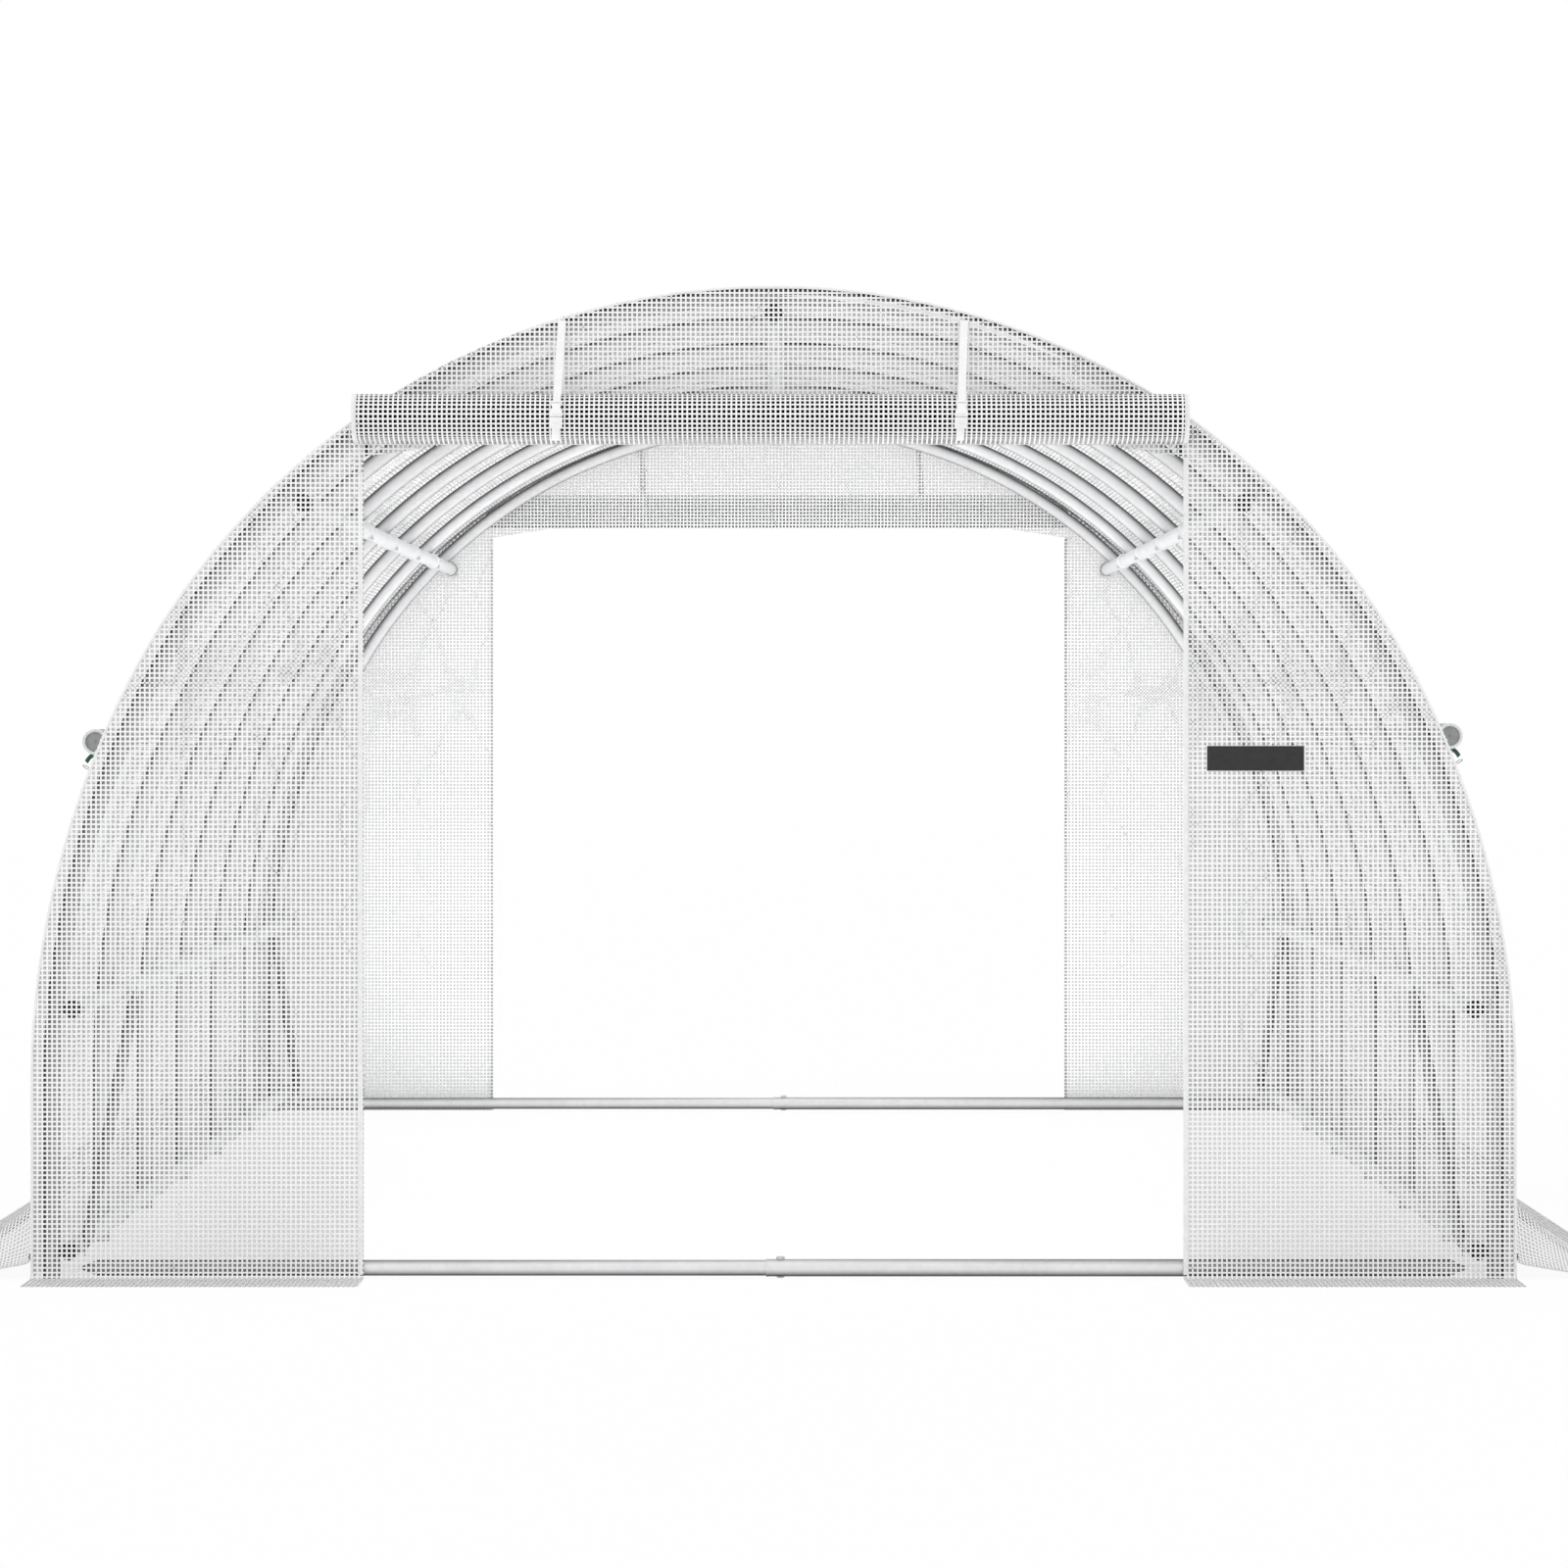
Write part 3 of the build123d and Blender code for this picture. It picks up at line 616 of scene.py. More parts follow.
def window_span(offset):
    """Half the window's height at a distance along the wall from its middle, or 0 outside."""
    inner = WINDOW_WIDTH / 2 - WINDOW_CORNER
    beyond = max(abs(offset) - inner, 0)
    if beyond >= WINDOW_CORNER:
        return 0
    half = (WINDOW_RUNS[1] - WINDOW_RUNS[0]) / 2
    return half - WINDOW_CORNER + (WINDOW_CORNER**2 - beyond**2) ** 0.5


WINDOW_RUNS = (COVER.run_at(WINDOW_TOP), COVER.run_at(WINDOW_BOTTOM))
WINDOW_PLACES = [(number + 0.5) * BAY - HOOP_Y for number in range(BAYS)]
SEAM_RUN = COVER.run_at(SEAM_HEIGHT)
COVER_END = END_Y - FILM


def cover_run_steps(low, high):
    """Runs between two limits, close enough for smooth arcs."""
    bends = [r for r in arch_runs(COVER, 34, 18) if low < r < high]
    return np.array([low, *bends, high])


def strand_places(low, high):
    """Places of strands at the grid's pitch between two limits."""
    first = int(np.ceil(low / PITCH + 0.3))
    last = int(np.floor(high / PITCH - 0.3))
    return np.arange(first, last + 1) * PITCH


BOTH_FACES = (STRAND_LIFT, -STRAND_LIFT)


class StrandPile(Pile):
    """Ribbons on both faces of a sheet, with their place on the sheet as their map."""

    def __init__(self):
        super().__init__()
        self.map = []

    def ribbon(self, points, places):
        """A ribbon from two rows of points, with their places on the sheet."""
        self.grid(points)
        self.map.append(np.asarray(places, float).reshape(-1, 2))

    def map_points(self):
        """Map places scaled to the unit square."""
        places = np.concatenate(self.map)
        low = places.min(0)
        return (places - low) / (places.max(0) - low)


def sheet_strand(pile, place, start, end, along_y, steps=None, faces=BOTH_FACES):
    """One strand of the cover, from start to end, either along the tunnel or round it."""
    for lift in faces:
        edges = np.array([place - STRAND / 2, place + STRAND / 2])[:, None]
        stations = np.array([start, *[s for s in steps if start < s < end], end])[None, :]
        if along_y:
            points = cover_points(edges, stations, lift)
            places = np.stack(np.broadcast_arrays(stations, edges), -1)
        else:
            points = cover_points(stations, edges, lift)
            places = np.stack(np.broadcast_arrays(edges, stations), -1)
        pile.ribbon(points, places)


LENGTHWISE_STEPS = np.linspace(-HOOP_Y, HOOP_Y, 8 * BAYS + 1)


def make_roof_cover():
    """One curved sheet over the hoops down to the seams at both shoulders."""
    runs = cover_run_steps(-SEAM_RUN, SEAM_RUN)
    along = np.array([-COVER_END, *LENGTHWISE_STEPS, COVER_END])
    pile = Pile()
    pile.grid(cover_points(runs[:, None], along[None, :], 0))
    film = pile.piece("roof_film", [FILM_SHEET], "grid_film")
    strands = StrandPile()
    for run in strand_places(-SEAM_RUN, SEAM_RUN):
        sheet_strand(strands, run, -COVER_END, COVER_END, True, LENGTHWISE_STEPS)
    for y in strand_places(-COVER_END, COVER_END):
        sheet_strand(strands, y, -SEAM_RUN, SEAM_RUN, False, runs)
    yarns = strands.piece("roof_strands", [YARN], "grid_film", True, strands.map_points())
    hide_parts("roof_cover")


def make_side_cover(side, sign):
    """The wall below the seam, with six windows cut in it."""
    half_window = WINDOW_WIDTH / 2
    top, bottom = WINDOW_RUNS
    corner_runs = [top, top + WINDOW_CORNER, bottom - WINDOW_CORNER, bottom]
    runs = np.unique(np.round(np.concatenate([cover_run_steps(SEAM_RUN, COVER.run), corner_runs]), 6))
    along = [-COVER_END, COVER_END, *LENGTHWISE_STEPS]
    for middle in WINDOW_PLACES:
        for offset in (-half_window, WINDOW_CORNER - half_window, 0, half_window - WINDOW_CORNER, half_window):
            along.append(middle + offset)
    along = np.unique(np.round(along, 6))
    points = cover_points(sign * runs[:, None], along[None, :], 0)
    rows, columns = points.shape[:2]
    faces = []
    for row in range(rows - 1):
        for column in range(columns - 1):
            run_middle = (runs[row] + runs[row + 1]) / 2
            y_middle = (along[column] + along[column + 1]) / 2
            inside = any(abs(y_middle - w) < half_window for w in WINDOW_PLACES)
            if inside and top < run_middle < bottom:
                continue
            low = row * columns + column
            faces.append((low, low + 1, low + columns + 1, low + columns))
    pile = Pile()
    pile.add(points, faces)
    for middle in WINDOW_PLACES:
        add_window_corners(pile, middle, sign)
    film = pile.piece(f"{side}_side_film", [FILM_SHEET], "grid_film")
    strands = StrandPile()
    for run in strand_places(SEAM_RUN, COVER.run):
        cuts = [-COVER_END]
        for middle in WINDOW_PLACES:
            reach = window_reach(run)
            if reach:
                cuts += [middle - reach, middle + reach]
        cuts.append(COVER_END)
        for start, end in zip(cuts[::2], cuts[1::2]):
            sheet_strand(strands, sign * run, start, end, True, LENGTHWISE_STEPS)
    for y in strand_places(-COVER_END, COVER_END):
        middle = min(WINDOW_PLACES, key=lambda place: abs(place - y))
        span = window_span(y - middle)
        centre = (top + bottom) / 2
        limits = [SEAM_RUN, centre - span, centre + span, COVER.run] if span else [SEAM_RUN, COVER.run]
        for start, end in zip(limits[::2], limits[1::2]):
            low, high = sorted((sign * start, sign * end))
            sheet_strand(strands, y, low, high, False, np.sort(sign * runs))
    yarns = strands.piece(f"{side}_side_strands", [YARN], "grid_film", True, strands.map_points())
    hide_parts(f"{side}_side_cover")


def window_reach(run):
    """Half the window's width at a run from the crown, or 0 outside."""
    top, bottom = WINDOW_RUNS
    if not top < run < bottom:
        return 0
    beyond = max(abs(run - (top + bottom) / 2) - (bottom - top) / 2 + WINDOW_CORNER, 0)
    return WINDOW_WIDTH / 2 - WINDOW_CORNER + (WINDOW_CORNER**2 - beyond**2) ** 0.5


def add_window_corners(pile, middle, sign):
    """Film between a window's rounded corner and its square one."""
    top, bottom = WINDOW_RUNS
    turns = np.linspace(0, pi / 2, 7)
    for y_sign in (-1, 1):
        for run_edge, run_sign in ((top, -1), (bottom, 1)):
            y_corner = middle + y_sign * WINDOW_WIDTH / 2
            y_arc = y_corner - y_sign * WINDOW_CORNER * (1 - np.cos(turns))
            run_arc = run_edge - run_sign * WINDOW_CORNER * (1 - np.sin(turns))
            arc = cover_points(sign * run_arc, y_arc, 0)
            corner = cover_points(sign * run_edge, y_corner, 0)
            fan = [(step, step + 1, len(turns)) for step in range(len(turns) - 1)]
            pile.add(np.vstack([arc, corner]), fan)


# End walls

END_STRAND_STEP = 0.2
GROUND_BEND = 0.012
SKIRT_REACH = 0.200


def door_top(x):
    """Height of the doorway's top edge, which drops to both corners."""
    inner = DOOR_HALF_WIDTH - DOOR_HAUNCH
    beyond = max(abs(x) - inner, 0) / DOOR_HAUNCH
    return DOOR_HEIGHT - (DOOR_HEIGHT - DOOR_CORNER_HEIGHT) * beyond


def end_wall_points(x, rise, end_sign, lift=0.0):
    """Places on an end wall. Below the bend the sheet turns out over the ground."""
    x, rise = np.broadcast_arrays(np.asarray(x, float), np.asarray(rise, float))
    quarter = GROUND_BEND * pi / 2
    turn = np.clip(-rise / GROUND_BEND, 0, pi / 2)
    out = GROUND_BEND * (1 - np.cos(turn)) + np.maximum(-rise - quarter, 0)
    billow = 0.0022 * np.sin(3.1 * x + 0.6) * np.sin(2.3 * rise + 0.4) * np.clip(rise / 0.4, 0, 1)
    edge = np.clip((HALF_WIDTH - np.abs(x)) / 0.3, 0, 1)
    y = END_Y - FILM / 2 + out + np.cos(turn) * lift + billow * edge
    z = np.where(rise > 0, rise, -GROUND_BEND * np.sin(turn)) + GROUND_BEND + 0.0006 + np.sin(turn) * lift
    return np.stack([x, end_sign * y, z], -1)


def end_wall_outline(x):
    """Highest rise of the sheet over a place across the wall."""
    top = COVER.height_at(min(abs(x), HALF_WIDTH)) - GROUND_BEND - 0.0006
    return top


def make_end_wall(end, end_sign):
    """One sheet with the doorway cut in it, which turns out over the ground beside the door."""
    foot = -(GROUND_BEND * pi / 2 + SKIRT_REACH - GROUND_BEND)
    split = DOOR_CORNER_HEIGHT - GROUND_BEND
    crossing = COVER.half_width_at(DOOR_CORNER_HEIGHT)
    inner = DOOR_HALF_WIDTH - DOOR_HAUNCH
    pile = Pile()
    edge = HALF_WIDTH - 0.0005
    for sign in (-1, 1):
        side = sign * np.unique([*np.linspace(DOOR_HALF_WIDTH, edge, 25), crossing, edge - 0.002, edge - 0.008])
        heights = np.array([min(end_wall_outline(x), split) for x in side])
        share = np.concatenate([np.linspace(foot, -GROUND_BEND * pi / 2, 4), np.linspace(-0.0188, 0, 6)[1:]])
        rises = [np.concatenate([share, np.linspace(0, h, 14)[1:]]) for h in heights]
        pile.grid(end_wall_points(side[:, None], np.array(rises), end_sign))
    upper = np.unique(np.round([
        *np.linspace(-crossing, crossing, 33), -DOOR_HALF_WIDTH, DOOR_HALF_WIDTH, -inner, inner,
    ], 6))
    rises = []
    for x in upper:
        low = split if abs(x) >= DOOR_HALF_WIDTH else door_top(x) - GROUND_BEND
        rises.append(np.linspace(low, max(end_wall_outline(x), low), 7))
    pile.grid(end_wall_points(upper[:, None], np.array(rises), end_sign))
    film = pile.piece(f"{end}_wall_film", [FILM_SHEET], "grid_film")
    strands = StrandPile()
    for x in strand_places(-HALF_WIDTH, HALF_WIDTH):
        low = foot if abs(x) > DOOR_HALF_WIDTH else door_top(x) - GROUND_BEND
        high = end_wall_outline(x)
        bends = [*np.linspace(-GROUND_BEND * pi / 2, 0, 5), *np.arange(END_STRAND_STEP, high, END_STRAND_STEP)]
        end_strand(strands, x, low, high, True, bends, end_sign)
    for rise in strand_places(foot, CROWN_HEIGHT - GROUND_BEND):
        height = max(rise, 0) + GROUND_BEND
        half = HALF_WIDTH if height < LEG_HEIGHT else COVER.half_width_at(height)
        for start, stop in row_spans(height, half):
            bends = np.arange(-1.2, 1.3, END_STRAND_STEP)
            end_strand(strands, rise, start, stop, False, bends, end_sign)
    yarns = strands.piece(f"{end}_wall_strands", [YARN], "grid_film", True, strands.map_points())
    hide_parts(f"{end}_panel_left", f"{end}_panel_right", f"{end}_panel_top", f"{end}_skirts")


def row_spans(height, half):
    """Stretches of an end wall's row that are film, at a height."""
    if height < DOOR_CORNER_HEIGHT:
        return [(-half, -DOOR_HALF_WIDTH), (DOOR_HALF_WIDTH, half)]
    if height < DOOR_HEIGHT:
        drop = (DOOR_HEIGHT - height) / (DOOR_HEIGHT - DOOR_CORNER_HEIGHT)
        reach = DOOR_HALF_WIDTH - DOOR_HAUNCH + drop * DOOR_HAUNCH
        return [(-half, -reach), (reach, half)]
    return [(-half, half)]


def end_strand(pile, place, start, stop, upright, bends, end_sign):
    """One strand of an end wall, upright or level, on both faces of the film."""
    if stop - start < STRAND:
        return
    stations = np.array([start, *sorted(b for b in bends if start < b < stop), stop])[None, :]
    edges = np.array([place - STRAND / 2, place + STRAND / 2])[:, None]
    for lift in BOTH_FACES:
        if upright:
            points = end_wall_points(edges, stations, end_sign, lift)
            places = np.stack(np.broadcast_arrays(edges, stations), -1)
        else:
            points = end_wall_points(stations, edges, end_sign, lift)
            places = np.stack(np.broadcast_arrays(stations, edges), -1)
        pile.ribbon(points, places)


# Rolled curtains and window flaps

class Roll:
    """Section of a rolled sheet: from the wall, under the roll, up its outer side and inward."""

    def __init__(self, centre, outer, inner, turns, wall_point, sign_out=1):
        self.centre = np.asarray(centre, float)
        reach = np.asarray(wall_point, float) - self.centre
        aim = atan2(reach[1], reach[0])
        distance = hypot(*reach)
        self.start_turn = aim + sign_out * acos(min(outer / distance, 1.0))
        self.outer, self.inner, self.turns = outer, inner, turns
        self.wall_point = np.asarray(wall_point, float)
        self.sign_out = sign_out

    def path(self, turns, steps_per_turn=28, lift=0.0, from_wall=True):
        """Points of the section and their runs along the sheet, from the wall inward."""
        count = max(int(turns * steps_per_turn), 2)
        wound = np.linspace(0, turns, count + 1)
        radius = self.outer - (self.outer - self.inner) * wound / self.turns + lift
        turn = self.start_turn + self.sign_out * 2 * pi * wound
        points = self.centre + np.stack([radius * np.cos(turn), radius * np.sin(turn)], 1)
        if from_wall:
            points = np.vstack([self.wall_point, points])
        steps = np.hypot(*np.diff(points, axis=0).T)
        return points, np.concatenate([[0], np.cumsum(steps)])


def roll_wobble(along, section, centre, depth, pinches, pinch_depth):
    """Slack and creases of a rolled sheet, as a change of its radius."""
    turn = np.arctan2(section[..., 1] - centre[1], section[..., 0] - centre[0])
    slack = 0.5 * np.sin(2 * turn + 5.1 * along) + 0.3 * np.sin(3 * turn - 9.0 * along + 1.0)
    slack += 0.2 * np.sin(5 * turn + 17.0 * along + 2.0)
    drop = sum(np.exp(-(((along - p) / 0.03) ** 2)) for p in pinches)
    return depth * slack - pinch_depth * drop


def roll_points(section, along, centre, place, depth, pinches, pinch_depth):
    """Places in space of section points by distances along the roll."""
    section, along = np.broadcast_arrays(section[None, :, :], np.asarray(along, float)[:, None, None])
    along = along[..., 0]
    offset = section - centre
    distance = np.maximum(np.hypot(offset[..., 0], offset[..., 1]), 1e-6)
    wobble = roll_wobble(along, section, centre, depth, pinches, pinch_depth)
    held = np.clip(section[..., 0] / 0.01, 0, 1)
    section = centre + offset * (1 + wobble * held / distance)[..., None]
    return place(along, section[..., 0], section[..., 1])


def make_roll(names, roll, length, place, pinches, depth, pinch_depth, yarn_turns, hem_width, node, middles=(0,)):
    """Film, strands and end hems of rolled sheets that lie in a row."""
    film_name, strand_name, hem_name = names
    film, strands, hems = Pile(), StrandPile(), Pile()
    section, runs = roll.path(roll.turns)
    outer_section, outer_runs = roll.path(yarn_turns)
    for middle in middles:
        start, stop = middle - length / 2, middle + length / 2
        stops = [middle + p for p in pinches]
        shape = (roll.centre, place, depth, stops, pinch_depth)
        stations = np.linspace(start, stop, max(int(length / 0.04), 4) + 1)
        film.grid(roll_points(section, stations, *shape))
        for lift in (STRAND_LIFT, -STRAND_LIFT):
            raised, _ = roll.path(yarn_turns, lift=lift)
            for along in np.arange(start + hem_width + PITCH / 2, stop - hem_width, PITCH):
                edges = [along - STRAND / 2, along + STRAND / 2]
                strands.ribbon(
                    roll_points(raised, edges, *shape),
                    np.stack(np.broadcast_arrays(np.array(edges)[:, None], outer_runs[None, :]), -1),
                )
            for run in np.arange(PITCH / 2, outer_runs[-1] - STRAND, PITCH):
                pair = np.array([
                    [np.interp(r, outer_runs, raised[:, 0]), np.interp(r, outer_runs, raised[:, 1])]
                    for r in (run - STRAND / 2, run + STRAND / 2)
                ])
                inner_stations = stations[(stations > start + hem_width) & (stations < stop - hem_width)]
                inner_stations = np.array([start + hem_width, *inner_stations, stop - hem_width])
                points = roll_points(pair, inner_stations, *shape)
                strands.ribbon(points, np.stack(np.broadcast_arrays(
                    inner_stations[:, None], np.array([run, run + STRAND])[None, :]), -1))
        for edge, inward in ((start, 1), (stop, -1)):
            add_roll_hem(hems, roll, edge, edge + inward * hem_width, shape)
            add_roll_end(hems, roll, edge, inward, place)
    made = film.piece(film_name, [FILM_SHEET], "rolled_film")
    yarns = strands.piece(strand_name, [YARN], "rolled_film", True, strands.map_points())
    bands = hems.piece(hem_name, [HEM, ROLL_EDGE, ROLL_CORE], "rolled_film")
    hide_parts(node)
    return made


def add_roll_end(pile, roll, edge, inward, place):
    """Wound edge of a roll as fine steps, round a crumpled core set back in it, coloured dark grey as painted shade
    in the roll's hollow.
    """
    turns = np.linspace(0, 2 * pi, 37)
    steps = np.linspace(roll.outer - 0.0006, roll.inner, 9)
    rows = [(radius, 0.0004 + 0.0006 * (step % 2)) for step, radius in enumerate(steps)]
    rows.append((roll.inner - 0.0002, 0.006))
    circle = [(np.cos(turns), np.sin(turns))] * len(rows)
    points = [
        place(edge + inward * depth, roll.centre[0] + radius * across, roll.centre[1] + radius * up)
        for (radius, depth), (across, up) in zip(rows, circle)
    ]
    pile.grid(np.array(points), 1)
    core = []
    for radius in np.linspace(roll.inner, 0.0, 7):
        depth = 0.005 + 0.0012 * np.sin(3 * turns + 900 * radius)
        core.append(place(
            edge + inward * depth, roll.centre[0] + radius * np.cos(turns), roll.centre[1] + radius * np.sin(turns)))
    pile.grid(np.array(core), 2)


def add_roll_hem(pile, roll, start, stop, shape):
    """Folded hem at one end of a rolled sheet, closed round its edge."""
    hem = 0.0009
    top, _ = roll.path(roll.turns, lift=hem)
    under, _ = roll.path(roll.turns, lift=-hem)
    ends = np.array([start, stop])
    upper = roll_points(top, ends, *shape)
    lower = roll_points(under, ends, *shape)
    rim = np.concatenate([upper, lower[::-1], upper[:1]])
    pile.grid(rim)


def rest_place_x(end_sign):
    """Section of a door roll: distance out from the wall and height."""
    return lambda along, out, height: np.stack(np.broadcast_arrays(along, end_sign * (END_Y + out), height), -1)


ROLL_CENTRE = (0.0485, 1.741)
ROLL_RADIUS = 0.0475
ROLL_MIDDLE = -0.006
ROLL_CORE_RADIUS = 0.020
ROLL_TURNS = 7.75
ROLL_LENGTH = 1.684
STRAP_TOP = 1.937
STRAP_WIDTH = 0.016
STRAP = 0.0012
STRAP_PLACES = {-1: ((-0.4277, -0.4386), (0.3850, 0.3750)), 1: ((-0.4010, -0.3870), (0.4055, 0.4170))}
BUCKLE_HEIGHT = 0.055
BUCKLE_CENTRE = 1.743


def make_door_roll(end, end_sign):
    roll = Roll(ROLL_CENTRE, ROLL_RADIUS - 0.0012, ROLL_CORE_RADIUS, ROLL_TURNS, (0.0008, DOOR_HEIGHT + 0.002))
    pinches = [(top + bottom) / 2 for top, bottom in STRAP_PLACES[end_sign]]
    names = (f"{end}_curtain_film", f"{end}_curtain_strands", f"{end}_curtain_hems")
    pinches = [p - ROLL_MIDDLE for p in pinches]
    make_roll(names, roll, ROLL_LENGTH, rest_place_x(end_sign), pinches, 0.0009, 0.0008, 1.15, 0.010,
              f"{end}_door_roll", (ROLL_MIDDLE,))


def strap_section():
    """Closed line of a strap: from the head of the wall down and round the roll, and back up."""
    centre = np.array(ROLL_CENTRE)
    radius = ROLL_RADIUS + 0.0009
    head = np.array([0.0016, STRAP_TOP])
    reach = head - centre
    aim, distance = atan2(reach[1], reach[0]), hypot(*reach)
    spread_turn = acos(radius / distance)
    turns = np.linspace(aim - spread_turn, aim + spread_turn - 2 * pi, 40)
    ring = centre + radius * np.stack([np.cos(turns), np.sin(turns)], 1)
    ring[:, 0] = np.maximum(ring[:, 0], 0.0016)
    return np.vstack([head, ring, head + np.array([0, -0.004])])


def make_straps():
    """Webbing straps, two at each end, stitched to the head of the wall."""
    pile = Pile()
    section = strap_section()
    steps = np.diff(section, axis=0)
    steps = np.vstack([steps[:1], (steps[:-1] + steps[1:]) / 2, steps[-1:]])
    steps /= np.hypot(*steps.T)[:, None]
    normal = np.stack([-steps[:, 1], steps[:, 0]], 1)
    for end_sign in (-1, 1):
        for top, bottom in STRAP_PLACES[end_sign]:
            share = (STRAP_TOP - section[:, 1]) / (STRAP_TOP - 1.69)
            middle = top + (bottom - top) * share
            rings = []
            for across, lift in ((-1, -1), (-1, 1), (1, 1), (1, -1)):
                line = section + normal * lift * STRAP / 2
                rings.append(np.stack([middle + across * STRAP_WIDTH / 2, end_sign * (END_Y + line[:, 0]), line[:, 1]], 1))
            pile.ring_tube(np.stack(rings, 1))
            patch_z = STRAP_TOP - 0.012
            box_points = [
                (top + a * (STRAP_WIDTH / 2 + 0.0004), end_sign * (END_Y + o), patch_z + u * 0.012)
                for o in (0.0, 0.0034) for a, u in ((-1, -1), (1, -1), (1, 1), (-1, 1))
            ]
            faces = [(0, 1, 2, 3), (4, 5, 6, 7), (0, 1, 5, 4), (1, 2, 6, 5), (2, 3, 7, 6), (3, 0, 4, 7)]
            pile.add(box_points, faces)
    straps = sharpen(pile.piece("webbing_straps", [WEBBING], "white_webbing"), 40)
    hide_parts("roll_straps")


BUCKLE_PARTS = [
    [(0.0, 0.0122), (0.0012, 0.0132), (0.0200, 0.0132), (0.0215, 0.0126)],
    [(0.0228, 0.0128), (0.0240, 0.0132), (0.0330, 0.0128), (0.0360, 0.0112), (0.0405, 0.0086), (0.0440, 0.0090),
     (0.0485, 0.0122), (0.0500, 0.0126)],
    [(0.0512, 0.0120), (0.0525, 0.0126), (0.0545, 0.0118), (0.0550, 0.0100)],
]
BUCKLE_RIBS = [(0.0060, 0.0010), (0.0120, 0.0010), (0.0290, 0.0008)]


def buckle_ring(x, end_sign, z, half, thick):
    """One section of a buckle, with rounded corners, over the roll's outer side."""
    bow = (ROLL_RADIUS**2 - min(abs(z - ROLL_CENTRE[1]), 0.035) ** 2) ** 0.5
    base = END_Y + ROLL_CENTRE[0] + bow + 0.0022
    ring = []
    for turn in np.arange(16) * 2 * pi / 16:
        across = abs(cos(turn)) ** 0.45 * (1 if cos(turn) >= 0 else -1)
        above = abs(sin(turn)) ** 0.6 * (1 if sin(turn) >= 0 else -1)
        ring.append((x + half * across, end_sign * (base + thick * (1 + above)), z))
    return ring


def make_buckles():
    """Side-release buckles: a socket, a waisted body and a top bar, parted by narrow gaps."""
    pile = Pile()
    foot = BUCKLE_CENTRE - BUCKLE_HEIGHT / 2
    for end_sign in (-1, 1):
        for top, bottom in STRAP_PLACES[end_sign]:

            def middle_at(z):
                return top + (bottom - top) * (STRAP_TOP - z) / (STRAP_TOP - 1.69)

            for rows, thick in zip(BUCKLE_PARTS, (0.0042, 0.0036, 0.0030)):
                rings = [
                    buckle_ring(middle_at(foot + rise), end_sign, foot + rise, half, thick) for rise, half in rows
                ]
                pile.ring_tube(np.array(rings))
            for rise, half in BUCKLE_RIBS:
                rings = [
                    buckle_ring(middle_at(foot + rise + step), end_sign, foot + rise + step, 0.0095 * size, 0.0048)
                    for step, size in ((-half, 0.9), (-half / 2, 1), (half / 2, 1), (half, 0.9))
                ]
                pile.ring_tube(np.array(rings))
    buckles = sharpen(pile.piece("side_release_buckles", [BUCKLE], "white_plastic"), 50)
    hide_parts("strap_buckles")


WINDOW_ROLL_RADIUS = 0.026
WINDOW_ROLL_LENGTH = 0.660
WINDOW_ROLL_DROP = {"left": 0.011, "right": -0.002}
TIE_SPACING = 0.400


def window_roll_centre(side):
    """Centre of a side's window rolls: distance from the middle and height."""
    low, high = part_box(f"{side}_window_rolls")
    middle = abs(low.x + high.x) / 2
    turn = asin((low.z + high.z - 2 * LEG_HEIGHT) / (2 * (HAUNCH_RADIUS + WINDOW_ROLL_RADIUS)))
    drop = WINDOW_ROLL_DROP[side]
    return middle + drop * sin(turn), (low.z + high.z) / 2 - drop * cos(turn)


def make_window_rolls(side, sign):
    x, z = window_roll_centre(side)
    top_run = COVER.run_at(z + 0.030)
    wall_x, wall_z, _, _ = COVER.at(top_run, 0.0012)
    roll = Roll((x, z), WINDOW_ROLL_RADIUS, 0.0205, 3, (float(wall_x), float(wall_z)), 1)

    def place(along, out, height):
        return np.stack(np.broadcast_arrays(sign * out, along, height), -1)

    ties = [-TIE_SPACING / 2, TIE_SPACING / 2]
    names = (f"{side}_flap_film", f"{side}_flap_strands", f"{side}_flap_hems")
    make_roll(names, roll, WINDOW_ROLL_LENGTH, place, ties, 0.0006, 0.0022, 1.2, 0.012,
              f"{side}_window_rolls", WINDOW_PLACES)


def ribbon_band(pile, line, width_direction, width):
    """Thin closed ribbon along a line of points."""
    line = np.asarray(line, float)
    width_direction = np.asarray(width_direction, float)
    half = width_direction * width / 2
    steps = np.gradient(line, axis=0)
    normal = np.cross(steps, width_direction)
    normal /= np.linalg.norm(normal, axis=1)[:, None]
    thick = normal * 0.0004
    rings = np.stack([line - half - thick, line - half + thick, line + half + thick, line + half - thick], 1)
    pile.ring_tube(rings)


